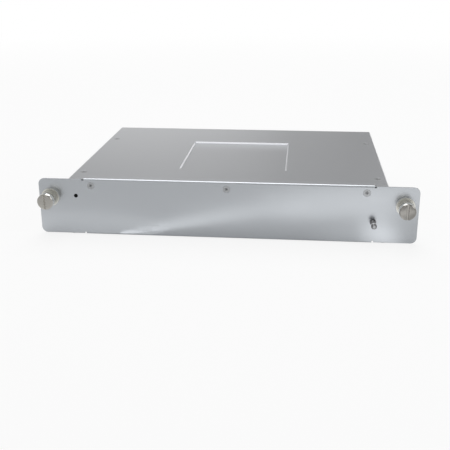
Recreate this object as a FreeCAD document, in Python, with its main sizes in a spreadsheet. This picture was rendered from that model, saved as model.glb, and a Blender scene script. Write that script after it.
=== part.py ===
import FreeCAD, Part
import os
import re

import Sketcher

# Charger power module: a flat plug-in power unit, one rack unit high, in a folded sheet case.
# Millimetres. X is to the right, Y to the back, Z up. The origin is under the middle of the module,
# on the plane it stands on. Unless a name says otherwise, depths are counted from the panel's front face.
SIZES = {
    # Sheet of the case
    "panel_front": -88.1,
    "sheet": 1.2,
    "bend": 1.8,
    "bend_inner": 0.6,
    # Front panel
    "panel_width": 280.0,
    "panel_height": 43.6,
    "panel_bend": 1.5,
    "panel_bend_inner": 0.3,
    "ear_inset": 0.6,
    "ear_radius": 4.3,
    "flange_centre": 1.1,
    "flange_length": 213.4,
    "flange_reach": 7.2,
    "relief_width": 1.4,
    "relief_depth": 1.1,
    "panel_screw_pitch": 101.4,
    "panel_screw_height": 38.2,
    "indicator_side": -112.0,
    "indicator_height": 30.2,
    "indicator_hole": 3.0,
    # Earth stud
    "stud_side": 108.0,
    "stud_height": 16.2,
    "stud_thread": 4.0,
    "stud_reach": 11.0,
    "stud_chamfer": 0.7,
    "stud_collar": 4.4,
    "stud_relief": 3.4,
    "stud_relief_length": 0.5,
    "stud_head": 6.0,
    "stud_head_thick": 1.0,
    # Case
    "case_width": 236.0,
    "case_depth": 180.0,
    "lip": 12.0,
    "joggle_start": 8.0,
    "joggle_overlap": 12.0,
    "strip": 3.0,
    "seam": 0.2,
    "wall_hole": 8.0,
    # Top cover
    "cover_start": 2.1,
    "cover_edge": 0.5,
    "recess_centre": 2.0,
    "recess_width": 83.4,
    "recess_front": 38.4,
    "recess_length": 89.9,
    "recess_depth": 1.0,
    "recess_grow": 0.5,
    "slope": 45.0,
    "cover_screw_side": 111.4,
    "cover_screw_first": 22.3,
    "cover_screw_second": 132.2,
    # Countersunk screws and clinch nuts
    "sink_wide": 5.5,
    "screw_sunk": 0.05,
    "screw_head": 5.4,
    "screw_thread": 3.0,
    "screw_length": 5.6,
    "screw_hole": 3.6,
    "nut_wide": 5.6,
    "nut_bore": 3.2,
    "nut_thick": 1.6,
    # Vent: staggered columns of six-sided holes in both side walls
    "vent_pitch": 5.5,
    "vent_hole": 4.7,
    "vent_front": 58.6,
    "vent_low": 5.7,
    "vent_column_pairs": 7,
    "vent_rows": 6,
    # Captive thumbscrews
    "thumb_centre": -0.6,
    "thumb_side": 131.0,
    "thumb_height": 28.7,
    "thumb_reach": 13.8,
    "thumb_wide": 12.0,
    "thumb_chamfer": 0.8,
    "thumb_back_chamfer": 0.4,
    "thumb_length": 5.2,
    "thumb_neck": 7.6,
    "thumb_neck_end": 4.2,
    "thumb_shank": 3.0,
    "thumb_thread": 4.0,
    "thumb_thread_start": 1.7,
    "thumb_tip": 7.0,
    "thumb_tip_chamfer": 0.6,
    "slot_width": 1.6,
    "slot_depth": 1.6,
    "slot_chamfer": 0.3,
    "ferrule_reach": 5.4,
    "ferrule_wide": 10.8,
    "ferrule_groove": 0.6,
    "groove_width": 0.8,
    "groove_first": 4.6,
    "groove_second": 2.8,
    "ferrule_flange": 13.6,
    "ferrule_bore": 7.8,
    "ferrule_floor": 0.8,
    "ferrule_rear": 1.6,
    "ferrule_shank": 9.0,
    "ferrule_hole": 9.1,
    "ferrule_throat": 3.6,
    "spring_wire": 0.6,
    "spring_inner": 2.6,
    "spring_turns": 3.0,
    "spring_gap": 0.05,
    # Fans behind the right-hand vent
    "fan_size": 36.0,
    "fan_length": 28.0,
    "fan_face": 116.4,
    "fan_middle": 89.7,
    "fan_spacing": 36.4,
    "fan_height": 20.9,
    "fan_corner": 3.0,
    "fan_flange": 3.5,
    "fan_barrel": 35.8,
    "fan_bore": 33.6,
    "fan_hole": 3.4,
    "fan_hole_pitch": 15.0,
    "fan_strut": 1.6,
    "fan_strut_thick": 3.0,
    "fan_hub": 19.0,
    "bearing_wide": 8.0,
    "bearing_length": 16.0,
    "bearing_bore": 3.1,
    "rotor_wide": 20.4,
    "rotor_inner": 18.4,
    "rotor_length": 20.0,
    "rotor_gap": 0.6,
    "rotor_cap": 1.6,
    "rotor_shaft": 3.0,
    "rotor_shaft_length": 16.0,
    "blade_tip": 15.0,
    "blade_root": 7.5,
    "blade_thick": 1.2,
    "blade_reach": 7.0,
    "blade_lean": 4.6,
    "blade_bow": 1.0,
    "blades": 7,
    "bracket_front": 50.0,
    "bracket_rear": 129.4,
    "bracket_top": 38.0,
    "bracket_foot": 12.0,
    "bracket_hole": 33.0,
    "fan_screw_thread": 3.0,
    "fan_screw_length": 6.0,
    "fan_screw_head": 5.2,
    "fan_screw_head_thick": 1.8,
    # Boards
    "board_left": -112.0,
    "board_right": 84.0,
    "board_front": 12.0,
    "board_rear": 174.0,
    "board_low": 6.2,
    "board_top": 7.8,
    "post_wide": 5.6,
    "post_bore": 3.2,
    "post_inset": 6.0,
    "post_middle": 20.0,
    "board_hole": 3.4,
    "board_screw_head": 5.4,
    "board_screw_head_thick": 2.0,
    "film_thick": 0.4,
    "film_hole": 7.0,
    "film_right": 70.0,
    "control_left": -56.0,
    "control_right": 44.0,
    "control_front": 50.0,
    "control_top": 35.0,
    "chip_first": -40.0,
    "chip_pitch": 32.0,
    "chip_wide": 14.0,
    "chip_low": 14.0,
    "chip_high": 28.0,
    "chip_thick": 1.6,
    # Indicator
    "pipe_front": 0.8,
    "pipe_wide": 2.8,
    "pipe_collar": 6.0,
    "pipe_collar_thick": 1.0,
    "pipe_rear": 10.4,
    "lamp_front": 10.5,
    "indicator_board_left": -115.5,
    "indicator_board_right": -104.5,
    "indicator_board_front": 13.0,
    "indicator_board_rear": 14.2,
    # Wound parts: middle across and back, then width, core depth and height
    "boost_across": -80.0,
    "boost_back": 32.0,
    "boost_width": 38.0,
    "boost_depth": 14.0,
    "boost_height": 27.0,
    "transformer_across": 0.0,
    "transformer_back": 111.0,
    "transformer_width": 42.0,
    "transformer_depth": 16.0,
    "transformer_height": 28.0,
    "resonant_across": -46.0,
    "resonant_back": 111.0,
    "resonant_width": 32.0,
    "resonant_depth": 12.0,
    "resonant_height": 24.0,
    "output_across": 46.0,
    "output_back": 111.0,
    "output_width": 34.0,
    "output_depth": 14.0,
    "output_height": 25.0,
    "choke_across": -84.0,
    "choke_back": 142.0,
    "choke_width": 34.0,
    "choke_depth": 12.0,
    "choke_height": 24.0,
    "yoke": 4.0,
    "limb": 9.0,
    "winding_gap": 0.3,
    "winding_bulge": 4.0,
    "winding_round": 5.0,
    # Heatsinks and what is screwed to them
    "primary_left": -68.0,
    "primary_right": -3.0,
    "secondary_left": 6.0,
    "secondary_right": 70.0,
    "sink_front": 66.0,
    "sink_plate": 4.0,
    "sink_reach": 22.0,
    "sink_fin": 1.4,
    "sink_pitch": 5.2,
    "sink_fins": 6,
    "package_wide": 16.0,
    "package_thick": 5.0,
    "package_low": 12.0,
    "package_high": 32.0,
    "package_pitch": 20.0,
    "leg_wide": 1.2,
    "leg_thick": 0.7,
    "leg_pitch": 5.0,
    "bridge_wide": 24.0,
    "bridge_across": -54.0,
    "transistor_first": -31.0,
    "output_rectifier_first": 18.0,
    # Capacitors, fuse, relay and busbars
    "bulk_wide": 24.0,
    "bulk_height": 29.0,
    "bulk_across": -97.0,
    "bulk_first": 62.0,
    "bulk_pitch": 26.0,
    "can_edge": 1.0,
    "output_can_wide": 13.0,
    "output_can_height": 26.0,
    "output_can_across": 36.0,
    "output_can_first": 142.0,
    "output_can_pitch": 20.0,
    "film_capacitor_wide": 26.0,
    "film_capacitor_thick": 12.0,
    "film_capacitor_height": 20.0,
    "film_capacitor_across": -36.0,
    "film_capacitor_back": 24.0,
    "film_capacitor_pitch": 36.0,
    "input_capacitor_across": -98.0,
    "input_capacitor_back": 158.0,
    "fuse_across": -105.0,
    "fuse_front": 134.0,
    "fuse_length": 26.0,
    "fuse_wide": 5.6,
    "fuse_cap": 6.4,
    "fuse_cap_length": 6.0,
    "relay_left": -60.0,
    "relay_wide": 16.0,
    "relay_front": 132.0,
    "relay_long": 20.0,
    "relay_height": 15.0,
    "relay_edge": 0.8,
    "busbar_left": 10.4,
    "busbar_pitch": 3.6,
    "busbar_thick": 1.5,
    "busbar_front": 128.0,
    "busbar_rear": 172.0,
    "busbar_height": 12.0,
    # Rear connector
    "plug_left": -62.0,
    "plug_right": 8.0,
    "plug_front": 164.0,
    "plug_rear": 184.0,
    "plug_height": 16.0,
    "plug_clearance": 0.8,
    "plug_edge": 1.0,
    "guide_wide": 5.0,
    "guide_inset": 4.0,
    "guide_reach": 6.0,
    "guide_taper": 10.0,
    "contact_thick": 1.2,
    "contact_height": 9.0,
    "contact_seat": 6.0,
    "contact_rear": 190.0,
    "contact_first": 10.5,
    "contact_pitch": 5.2,
    "contacts": 6,
    "pin_size": 0.7,
    "pin_rear": 188.0,
    "pin_first": 44.0,
    "pin_pitch": 2.6,
    "pin_columns": 4,
    "pin_rows": 3,
    "contact_play": 0.1,
}

X_AXIS = FreeCAD.Vector(1, 0, 0)
Y_AXIS = FreeCAD.Vector(0, 1, 0)
ALONG_X = FreeCAD.Rotation(Y_AXIS, 90)
ALONG_BACK = FreeCAD.Rotation(X_AXIS, -90)
UPWARD = FreeCAD.Rotation()
DOWNWARD = FreeCAD.Rotation(X_AXIS, 180)
NEAR = 1e-3

# Corners of a six-sided hole: across in its corner radius, up in half its width over the flats
HEXAGON = [(1, 0), (0.5, 1), (-0.5, 1), (-1, 0), (-0.5, -1), (0.5, -1)]

doc = FreeCAD.newDocument("charger_power_module")
sheet = doc.addObject("Spreadsheet::Sheet", "Sizes")
for row, (alias, number) in enumerate(SIZES.items(), start=1):
    sheet.set(f"A{row}", alias)
    sheet.set(f"B{row}", str(number))
    sheet.setAlias(f"B{row}", alias)
doc.recompute()

pieces = []


def cell(text):
    """The expression with every size's name pointed at its cell."""
    return re.sub(r"[a-z][a-z_]+", lambda word: f"Sizes.{word[0]}" if word[0] in SIZES else word[0], text)


def value(text):
    """What an expression in the sizes comes to."""
    return float(sheet.evalExpression(cell(text)))


def bind(thing, **sizes):
    """Binds properties of a document object to expressions in the sizes."""
    for name, text in sizes.items():
        thing.setExpression(name, cell(text))


def move(thing, across, back, up):
    """Binds a placement; back is counted from the panel's front face."""
    thing.setExpression("Placement.Base.x", cell(across))
    thing.setExpression("Placement.Base.y", cell(f"panel_front + {back}"))
    thing.setExpression("Placement.Base.z", cell(up))


def keep(thing, label):
    """Lists an object as a sub-part of the module."""
    thing.Label = label
    pieces.append(thing)
    return thing


def polygon(drawing, corners):
    """A closed outline whose corners are bound to pairs of expressions."""
    first = drawing.GeometryCount
    count = len(corners)
    points = [FreeCAD.Vector(value(across), value(up), 0) for across, up in corners]
    for index in range(count):
        drawing.addGeometry(Part.LineSegment(points[index], points[(index + 1) % count]))
    for index in range(count):
        following = first + (index + 1) % count
        drawing.addConstraint(Sketcher.Constraint("Coincident", first + index, 2, following, 1))
    for index, (across, up) in enumerate(corners):
        hold(drawing, first + index, 1, points[index], across, up)


def hold(drawing, geometry, end, point, across, up):
    """Ties one point of a sketch to its two expressions, measured from the sketch's origin."""
    for kind, axis, size, text in (("DistanceX", -2, point.x, across), ("DistanceY", -1, point.y, up)):
        if abs(size) < 1e-9:
            drawing.addConstraint(Sketcher.Constraint("PointOnObject", geometry, end, axis))
        else:
            number = drawing.addConstraint(Sketcher.Constraint(kind, -1, 1, geometry, end, size))
            drawing.setExpression(f"Constraints[{number}]", cell(text))


def rectangle(drawing, left, low, right, high):
    polygon(drawing, [(left, low), (right, low), (right, high), (left, high)])


def circle(drawing, across, up, diameter):
    centre = FreeCAD.Vector(value(across), value(up), 0)
    geometry = drawing.addGeometry(Part.Circle(centre, FreeCAD.Vector(0, 0, 1), value(diameter) / 2))
    hold(drawing, geometry, 3, centre, across, up)
    number = drawing.addConstraint(Sketcher.Constraint("Diameter", geometry, value(diameter)))
    drawing.setExpression(f"Constraints[{number}]", cell(diameter))


class Piece:
    """One sub-part as a body whose sketches and features are bound to the sizes."""

    def __init__(self, label, across="0", back="0", up="0"):
        self.body = keep(doc.addObject("PartDesign::Body", label), label)
        move(self.body, across, back, up)

    def origin(self, role):
        return next(item for item in self.body.Origin.OriginFeatures if item.Role == role)

    def sketch(self, role, offset="0"):
        """A sketch on one of the body's origin planes, moved along that plane's normal."""
        drawing = self.body.newObject("Sketcher::SketchObject", "Sketch")
        drawing.AttachmentSupport = [(self.origin(role), "")]
        drawing.MapMode = "FlatFace"
        drawing.setExpression("AttachmentOffset.Base.z", cell(offset))
        return drawing

    def front(self, back="0"):
        """A sketch seen from the front, at a depth: sketch X is X and sketch Y is Z."""
        return self.sketch("XZ_Plane", f"-({back})")

    def side(self, across="0"):
        """A sketch seen from the right: sketch X is Y and sketch Y is Z."""
        return self.sketch("YZ_Plane", across)

    def plan(self, up="0"):
        """A sketch seen from above."""
        return self.sketch("XY_Plane", up)

    def finish(self, feature):
        self.body.Tip = feature
        doc.recompute()
        if not feature.isValid():
            raise RuntimeError(f"{self.body.Label}: {feature.Label} failed, {feature.getStatusString()}")
        return feature

    def pad(self, drawing, length, reverse=False, both=False, taper=None):
        feature = self.body.newObject("PartDesign::Pad", "Pad")
        feature.Profile = drawing
        feature.SideType = "Symmetric" if both else "One side"
        feature.Reversed = reverse
        bind(feature, Length=length)
        if taper:
            bind(feature, TaperAngle=taper)
        return self.finish(feature)

    def pocket(self, drawing, length=None, reverse=False, both=False, taper=None):
        """Cuts to a length, or right through where none is given."""
        before = self.body.Shape.Volume
        feature = self.body.newObject("PartDesign::Pocket", "Pocket")
        feature.Profile = drawing
        feature.SideType = "Symmetric" if both else "One side"
        feature.Reversed = reverse
        if length:
            bind(feature, Length=length)
        else:
            feature.Type = "ThroughAll"
        if taper:
            bind(feature, TaperAngle=taper)
        self.finish(feature)
        if self.body.Shape.Volume > before - 1e-6:
            raise RuntimeError(f"{self.body.Label}: a pocket cut nothing")
        return feature

    def revolve(self, drawing, axis="H_Axis"):
        feature = self.body.newObject("PartDesign::Revolution", "Revolution")
        feature.Profile = drawing
        feature.ReferenceAxis = (drawing, [axis])
        feature.Angle = 360
        return self.finish(feature)

    def edges(self, along, shortest="0", **at):
        """Names of the straight edges along one axis that lie at the given coordinates."""
        places = {axis: [value(text) for text in texts] for axis, texts in at.items()}

        def wanted(edge):
            start, end = edge.Vertexes[0].Point, edge.Vertexes[-1].Point
            run = [axis for axis in "xyz" if abs(getattr(end, axis) - getattr(start, axis)) > NEAR]
            if run != [along] or edge.Length < value(shortest):
                return False
            return all(min(abs(getattr(start, axis) - spot) for spot in spots) < NEAR
                       for axis, spots in places.items())

        shape = self.body.Tip.Shape
        return [f"Edge{number}" for number, edge in enumerate(shape.Edges, start=1) if wanted(edge)]

    def fillet(self, radius, edges):
        feature = self.body.newObject("PartDesign::Fillet", "Fillet")
        feature.Base = (self.previous(feature), edges)
        bind(feature, Radius=radius)
        return self.finish(feature)

    def chamfer(self, size, edges):
        feature = self.body.newObject("PartDesign::Chamfer", "Chamfer")
        feature.Base = (self.previous(feature), edges)
        bind(feature, Size=size)
        return self.finish(feature)

    def previous(self, feature):
        return feature.BaseFeature or self.body.Tip

    def polar(self, feature, count, axis="X_Axis"):
        pattern = self.body.newObject("PartDesign::PolarPattern", "PolarPattern")
        pattern.Originals = [feature]
        pattern.Axis = (self.origin(axis), [""])
        pattern.Angle = 360
        bind(pattern, Occurrences=count)
        return self.finish(pattern)

    def grid(self, feature, rows):
        """Repeats a feature along one or two axes: (axis, spacing, count) for each."""
        pattern = self.body.newObject("PartDesign::LinearPattern", "LinearPattern")
        pattern.Originals = [feature]
        for suffix, (axis, spacing, count) in zip(("", "2"), rows):
            setattr(pattern, f"Direction{suffix}", (self.origin(axis), [""]))
            setattr(pattern, f"Mode{suffix}", "Spacing")
            bind(pattern, **{f"Offset{suffix}": spacing, f"Occurrences{suffix}": count})
        return self.finish(pattern)


def block(name, left, right, front, rear, low, high):
    """A box between six expressions."""
    solid = doc.addObject("Part::Box", name)
    bind(solid, Length=f"({right}) - ({left})", Width=f"({rear}) - ({front})", Height=f"({high}) - ({low})")
    move(solid, left, front, low)
    return solid


def rod(name, diameter, length, across, back, up, turn=UPWARD):
    """A cylinder that starts at a point and runs along the turned Z axis."""
    solid = doc.addObject("Part::Cylinder", name)
    solid.Placement.Rotation = turn
    bind(solid, Radius=f"({diameter}) / 2", Height=length)
    move(solid, across, back, up)
    return solid


def cone(name, wide, narrow, length, across, back, up, turn=UPWARD):
    solid = doc.addObject("Part::Cone", name)
    solid.Placement.Rotation = turn
    bind(solid, Radius1=f"({wide}) / 2", Radius2=f"({narrow}) / 2", Height=length)
    move(solid, across, back, up)
    return solid


def fuse(name, solids):
    whole = doc.addObject("Part::MultiFuse", name)
    whole.Shapes = solids
    return whole


def cut(name, base, tools):
    tool = tools[0] if len(tools) == 1 else fuse(f"{name}_tools", tools)
    result = doc.addObject("Part::Cut", name)
    result.Base = base
    result.Tool = tool
    return result


def group(label, solids):
    """Like pieces that stay separate solids in one sub-part."""
    compound = doc.addObject("Part::Compound", label)
    compound.Links = solids
    return keep(compound, label)


# Case


def front_panel():
    """Folded panel: two ears, and flanges at the top and bottom between relief notches."""
    panel = Piece("front_panel")
    left = "flange_centre - flange_length / 2"
    right = "flange_centre + flange_length / 2"
    low, high = "ear_inset", "panel_height - ear_inset"
    notch_low, notch_high = "ear_inset + relief_depth", "panel_height - ear_inset - relief_depth"
    outline = [
        ("-panel_width / 2", low), (f"{left} - relief_width", low), (f"{left} - relief_width", notch_low),
        (left, notch_low), (left, "0"), (right, "0"), (right, notch_low),
        (f"{right} + relief_width", notch_low), (f"{right} + relief_width", low), ("panel_width / 2", low),
        ("panel_width / 2", high), (f"{right} + relief_width", high), (f"{right} + relief_width", notch_high),
        (right, notch_high), (right, "panel_height"), (left, "panel_height"), (left, notch_high),
        (f"{left} - relief_width", notch_high), (f"{left} - relief_width", high), ("-panel_width / 2", high),
    ]
    plate = panel.front()
    polygon(plate, outline)
    panel.pad(plate, "sheet", reverse=True)
    flanges = panel.front("sheet")
    rectangle(flanges, left, "0", right, "sheet")
    rectangle(flanges, left, "panel_height - sheet", right, "panel_height")
    panel.pad(flanges, "flange_reach - sheet", reverse=True)
    panel.fillet("panel_bend", panel.edges("x", y=["0"], z=["0", "panel_height"]))
    panel.fillet("panel_bend_inner", panel.edges("x", y=["sheet"], z=["sheet", "panel_height - sheet"]))
    panel.fillet("ear_radius", panel.edges("y", x=["-panel_width / 2", "panel_width / 2"], z=[low, high]))
    holes = panel.front()
    circle(holes, "indicator_side", "indicator_height", "indicator_hole")
    circle(holes, "stud_side", "stud_height", "stud_collar + 2 * screw_sunk")
    for side in ("-", "+"):
        circle(holes, f"thumb_centre {side} thumb_side", "thumb_height", "ferrule_hole")
    panel.pocket(holes)
    sinks = panel.front()
    for step in ("-panel_screw_pitch", "0", "panel_screw_pitch"):
        circle(sinks, f"flange_centre + {step}", "panel_screw_height", "sink_wide")
    panel.pocket(sinks, "sheet", taper="-slope")


def base_tray():
    """Folded tray: floor, vented side walls with lips, a front wall behind the panel and a rear wall."""
    tray = Piece("base_tray")
    half, rim = "case_width / 2", "panel_height - 2 * sheet"
    section = tray.front("sheet")
    corners = [(half, "0"), (half, rim), (f"{half} - lip", rim), (f"{half} - lip", f"{rim} - sheet"),
               (f"{half} - sheet", f"{rim} - sheet"), (f"{half} - sheet", "sheet")]
    polygon(section, corners + [(f"-({across})", up) for across, up in reversed(corners)])
    tray.pad(section, "case_depth - 2 * sheet", reverse=True)
    outside, inside = [f"-({half})", half], [f"-({half} - sheet)", f"{half} - sheet"]
    tray.fillet("bend", tray.edges("y", x=outside, z=["0", rim]))
    tray.fillet("bend_inner", tray.edges("y", x=inside, z=["sheet", f"{rim} - sheet"]))

    inner, width = f"{half} - strip", "case_width - 2 * strip - 2 * seam"
    mouths = tray.plan()
    rectangle(mouths, f"-({inner})", "sheet", inner, "joggle_overlap")
    rectangle(mouths, f"-({inner})", "case_depth - joggle_overlap", inner, "case_depth")
    tray.pocket(mouths, "sheet", reverse=True)
    front = tray.side()
    polygon(front, [
        ("sheet", "sheet"), ("joggle_start", "sheet"), ("joggle_start + sheet", "0"), ("joggle_overlap", "0"),
        ("joggle_overlap", "sheet"), ("joggle_start + sheet + bend_inner", "sheet"),
        ("joggle_start + bend_inner", "2 * sheet"), ("2 * sheet", "2 * sheet"), ("2 * sheet", rim),
        ("sheet", rim),
    ])
    tray.pad(front, width, both=True)
    tray.fillet("bend", tray.edges("x", half, y=["sheet"], z=["sheet"]))
    tray.fillet("bend_inner", tray.edges("x", half, y=["2 * sheet"], z=["2 * sheet"]))
    rear, inside_rear = "case_depth", "case_depth - sheet"
    back = tray.side()
    polygon(back, [("case_depth - joggle_overlap", "0"), (rear, "0"), (rear, rim), (inside_rear, rim),
                   (inside_rear, "sheet"), ("case_depth - joggle_overlap", "sheet")])
    tray.pad(back, width, both=True)
    tray.fillet("bend", tray.edges("x", half, y=[rear], z=["0"]))
    tray.fillet("bend_inner", tray.edges("x", half, y=[inside_rear], z=["sheet"]))
    wings = tray.front(rear)
    rectangle(wings, f"{inner} - strip", "strip", half, rim)
    rectangle(wings, f"-({half})", "strip", f"strip - ({inner})", rim)
    tray.pad(wings, "sheet")

    holes = tray.front("sheet")
    for pitch in ("-panel_screw_pitch", "0", "panel_screw_pitch"):
        circle(holes, f"flange_centre + {pitch}", "panel_screw_height", "screw_hole")
    circle(holes, "indicator_side", "indicator_height", "wall_hole")
    circle(holes, "stud_side", "stud_height", "wall_hole")
    tray.pocket(holes, "sheet")
    lip_holes = tray.plan(rim)
    for side in ("-cover_screw_side", "cover_screw_side"):
        for depth in ("cover_screw_first", "cover_screw_second"):
            circle(lip_holes, side, depth, "screw_hole")
    tray.pocket(lip_holes, "sheet")
    window = tray.front("case_depth")
    rectangle(window, "plug_left - plug_clearance", "board_low - plug_clearance",
              "plug_right + plug_clearance", "board_top + plug_height + plug_clearance")
    tray.pocket(window, "sheet", reverse=True)

    vent = tray.side()
    for column in (0, 1):
        middle = f"vent_front + {column} * vent_pitch * sqrt(3) / 2"
        height = f"vent_low + {column} * vent_pitch / 2"
        polygon(vent, [(f"{middle} + {across} * vent_hole / sqrt(3)", f"{height} + {up} * vent_hole / 2")
                       for across, up in HEXAGON])
    pair = tray.pocket(vent, both=True)
    columns = ("Y_Axis", "vent_pitch * sqrt(3)", "vent_column_pairs")
    tray.grid(pair, [columns, ("Z_Axis", "vent_pitch", "vent_rows")])


def top_cover():
    """Flat cover with a drawn recess that has sloping sides."""
    cover = Piece("top_cover")
    low, top = "panel_height - 2 * sheet", "panel_height - sheet"
    plate = cover.plan(low)
    rectangle(plate, "-case_width / 2", "cover_start", "case_width / 2", "case_depth")
    cover.pad(plate, "sheet")
    left, right = "recess_centre - recess_width / 2", "recess_centre + recess_width / 2"
    front, rear = "recess_front", "recess_front + recess_length"
    dish = cover.plan(low)
    rectangle(dish, f"{left} - recess_grow", f"{front} - recess_grow",
              f"{right} + recess_grow", f"{rear} + recess_grow")
    cover.pad(dish, "recess_depth", reverse=True, taper="-slope")
    recess = cover.plan(top)
    rectangle(recess, left, front, right, rear)
    cover.pocket(recess, "recess_depth", taper="-slope")
    sinks = cover.plan(top)
    for side in ("-cover_screw_side", "cover_screw_side"):
        for depth in ("cover_screw_first", "cover_screw_second"):
            circle(sinks, side, depth, "sink_wide")
    cover.pocket(sinks, "sheet", taper="-slope")
    rims = cover.edges("y", x=["-case_width / 2", "case_width / 2"], z=[top])
    cover.fillet("cover_edge", rims + cover.edges("x", y=["case_depth"], z=[top]))


def countersunk(name, across, back, up, turn):
    """A countersunk screw that points along the turned Z axis."""
    slope = "(screw_head - screw_thread) / 2"
    head = cone(f"{name}_head", "screw_head", "screw_thread", slope, across, back, up, turn)
    shank = rod(f"{name}_shank", "screw_thread", "screw_length", across, back, up, turn)
    return fuse(name, [head, shank])


def clinch_nut(name, across, back, up, turn):
    ring = rod(f"{name}_ring", "nut_wide", "nut_thick", across, back, up, turn)
    bore = rod(f"{name}_bore", "nut_bore", "nut_thick", across, back, up, turn)
    return cut(name, ring, [bore])


def case_fasteners():
    panel_screws, cover_screws, nuts = [], [], []
    for number, pitch in enumerate(("-panel_screw_pitch", "0", "panel_screw_pitch"), start=1):
        spot, height = f"flange_centre + {pitch}", "panel_screw_height"
        panel_screws.append(countersunk(f"panel_screw_{number}", spot, "screw_sunk", height, ALONG_BACK))
        nuts.append(clinch_nut(f"panel_nut_{number}", spot, "2 * sheet", height, ALONG_BACK))
    top, lip_low = "panel_height - sheet - screw_sunk", "panel_height - 3 * sheet"
    for side in ("-cover_screw_side", "cover_screw_side"):
        for depth in ("cover_screw_first", "cover_screw_second"):
            number = len(cover_screws) + 1
            cover_screws.append(countersunk(f"cover_screw_{number}", side, depth, top, DOWNWARD))
            nuts.append(clinch_nut(f"cover_nut_{number}", side, depth, lip_low, DOWNWARD))
    group("panel_screws", panel_screws)
    group("cover_screws", cover_screws)
    group("clinch_nuts", nuts)


def earth_stud():
    """Threaded stud pressed in from behind: a collar in the panel and an undercut in front of it."""
    stud = Piece("earth_stud", "stud_side", "0", "stud_height")
    profile = stud.side()
    head, thread = "sheet + stud_head_thick", "stud_thread / 2"
    polygon(profile, [
        ("-stud_reach", "0"), (head, "0"), (head, "stud_head / 2"), ("sheet", "stud_head / 2"),
        ("sheet", "stud_collar / 2"), ("0", "stud_collar / 2"), ("0", "stud_relief / 2"),
        ("-stud_relief_length", "stud_relief / 2"), ("-stud_relief_length", thread),
        ("stud_chamfer - stud_reach", thread), ("-stud_reach", f"{thread} - stud_chamfer"),
    ])
    stud.revolve(profile)


# Captive thumbscrews


def ferrule(label, across):
    """Ring-grooved sleeve pressed into an ear, with a floor that the spring stands on."""
    sleeve = Piece(label, across, "0", "thumb_height")
    profile = sleeve.side()
    outer, deep = "ferrule_wide / 2", "ferrule_wide / 2 - ferrule_groove"
    corners = [("-ferrule_reach", "ferrule_bore / 2"), ("ferrule_floor", "ferrule_bore / 2"),
               ("ferrule_floor", "ferrule_throat / 2"), ("ferrule_rear", "ferrule_throat / 2"),
               ("ferrule_rear", "ferrule_shank / 2"), ("0", "ferrule_shank / 2"), ("0", "ferrule_flange / 2"),
               ("-sheet", "ferrule_flange / 2"), ("-sheet", outer)]
    for groove in ("groove_second", "groove_first"):
        corners += [(f"groove_width - {groove}", outer), (f"groove_width - {groove}", deep),
                    (f"-{groove}", deep), (f"-{groove}", outer)]
    polygon(profile, corners + [("-ferrule_reach", outer)])
    sleeve.revolve(profile)


def thumbscrew(label, across):
    """Slotted screw: broad head, neck that slides in the ferrule, undercut shank and threaded end."""
    screw = Piece(label, across, "0", "thumb_height")
    profile = screw.side()
    back = "thumb_length - thumb_reach"
    polygon(profile, [
        ("-thumb_reach", "0"), ("thumb_tip", "0"), ("thumb_tip", "thumb_thread / 2 - thumb_tip_chamfer"),
        ("thumb_tip - thumb_tip_chamfer", "thumb_thread / 2"), ("thumb_thread_start", "thumb_thread / 2"),
        ("thumb_thread_start", "thumb_shank / 2"), ("-thumb_neck_end", "thumb_shank / 2"),
        ("-thumb_neck_end", "thumb_neck / 2"), (back, "thumb_neck / 2"),
        (back, "thumb_wide / 2 - thumb_back_chamfer"), (f"{back} - thumb_back_chamfer", "thumb_wide / 2"),
        ("thumb_chamfer - thumb_reach", "thumb_wide / 2"), ("-thumb_reach", "thumb_wide / 2 - thumb_chamfer"),
    ])
    screw.revolve(profile)
    slot = screw.plan()
    wall = "slot_width / 2"
    corners = [(f"{wall} + slot_chamfer", "-thumb_reach"), (wall, "slot_chamfer - thumb_reach"),
               (wall, "slot_depth - thumb_reach")]
    polygon(slot, corners + [(f"-({across})", back) for across, back in reversed(corners)])
    screw.pocket(slot, both=True)


def spring(label, across):
    """Square-wire coil spring between the screw's neck and the ferrule's floor."""
    coil = Piece(label, across, "0", "thumb_height")
    start, end = "spring_gap - thumb_neck_end", "ferrule_floor - spring_gap"
    wire = coil.side()
    rectangle(wire, start, "spring_inner", f"{start} + spring_wire", "spring_inner + spring_wire")
    helix = coil.body.newObject("PartDesign::AdditiveHelix", "Helix")
    helix.Profile = wire
    helix.ReferenceAxis = (wire, ["H_Axis"])
    helix.Mode = "height-turns-angle"
    bind(helix, Height=f"{end} - ({start}) - spring_wire", Turns="spring_turns")
    coil.finish(helix)


# Fans


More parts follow.
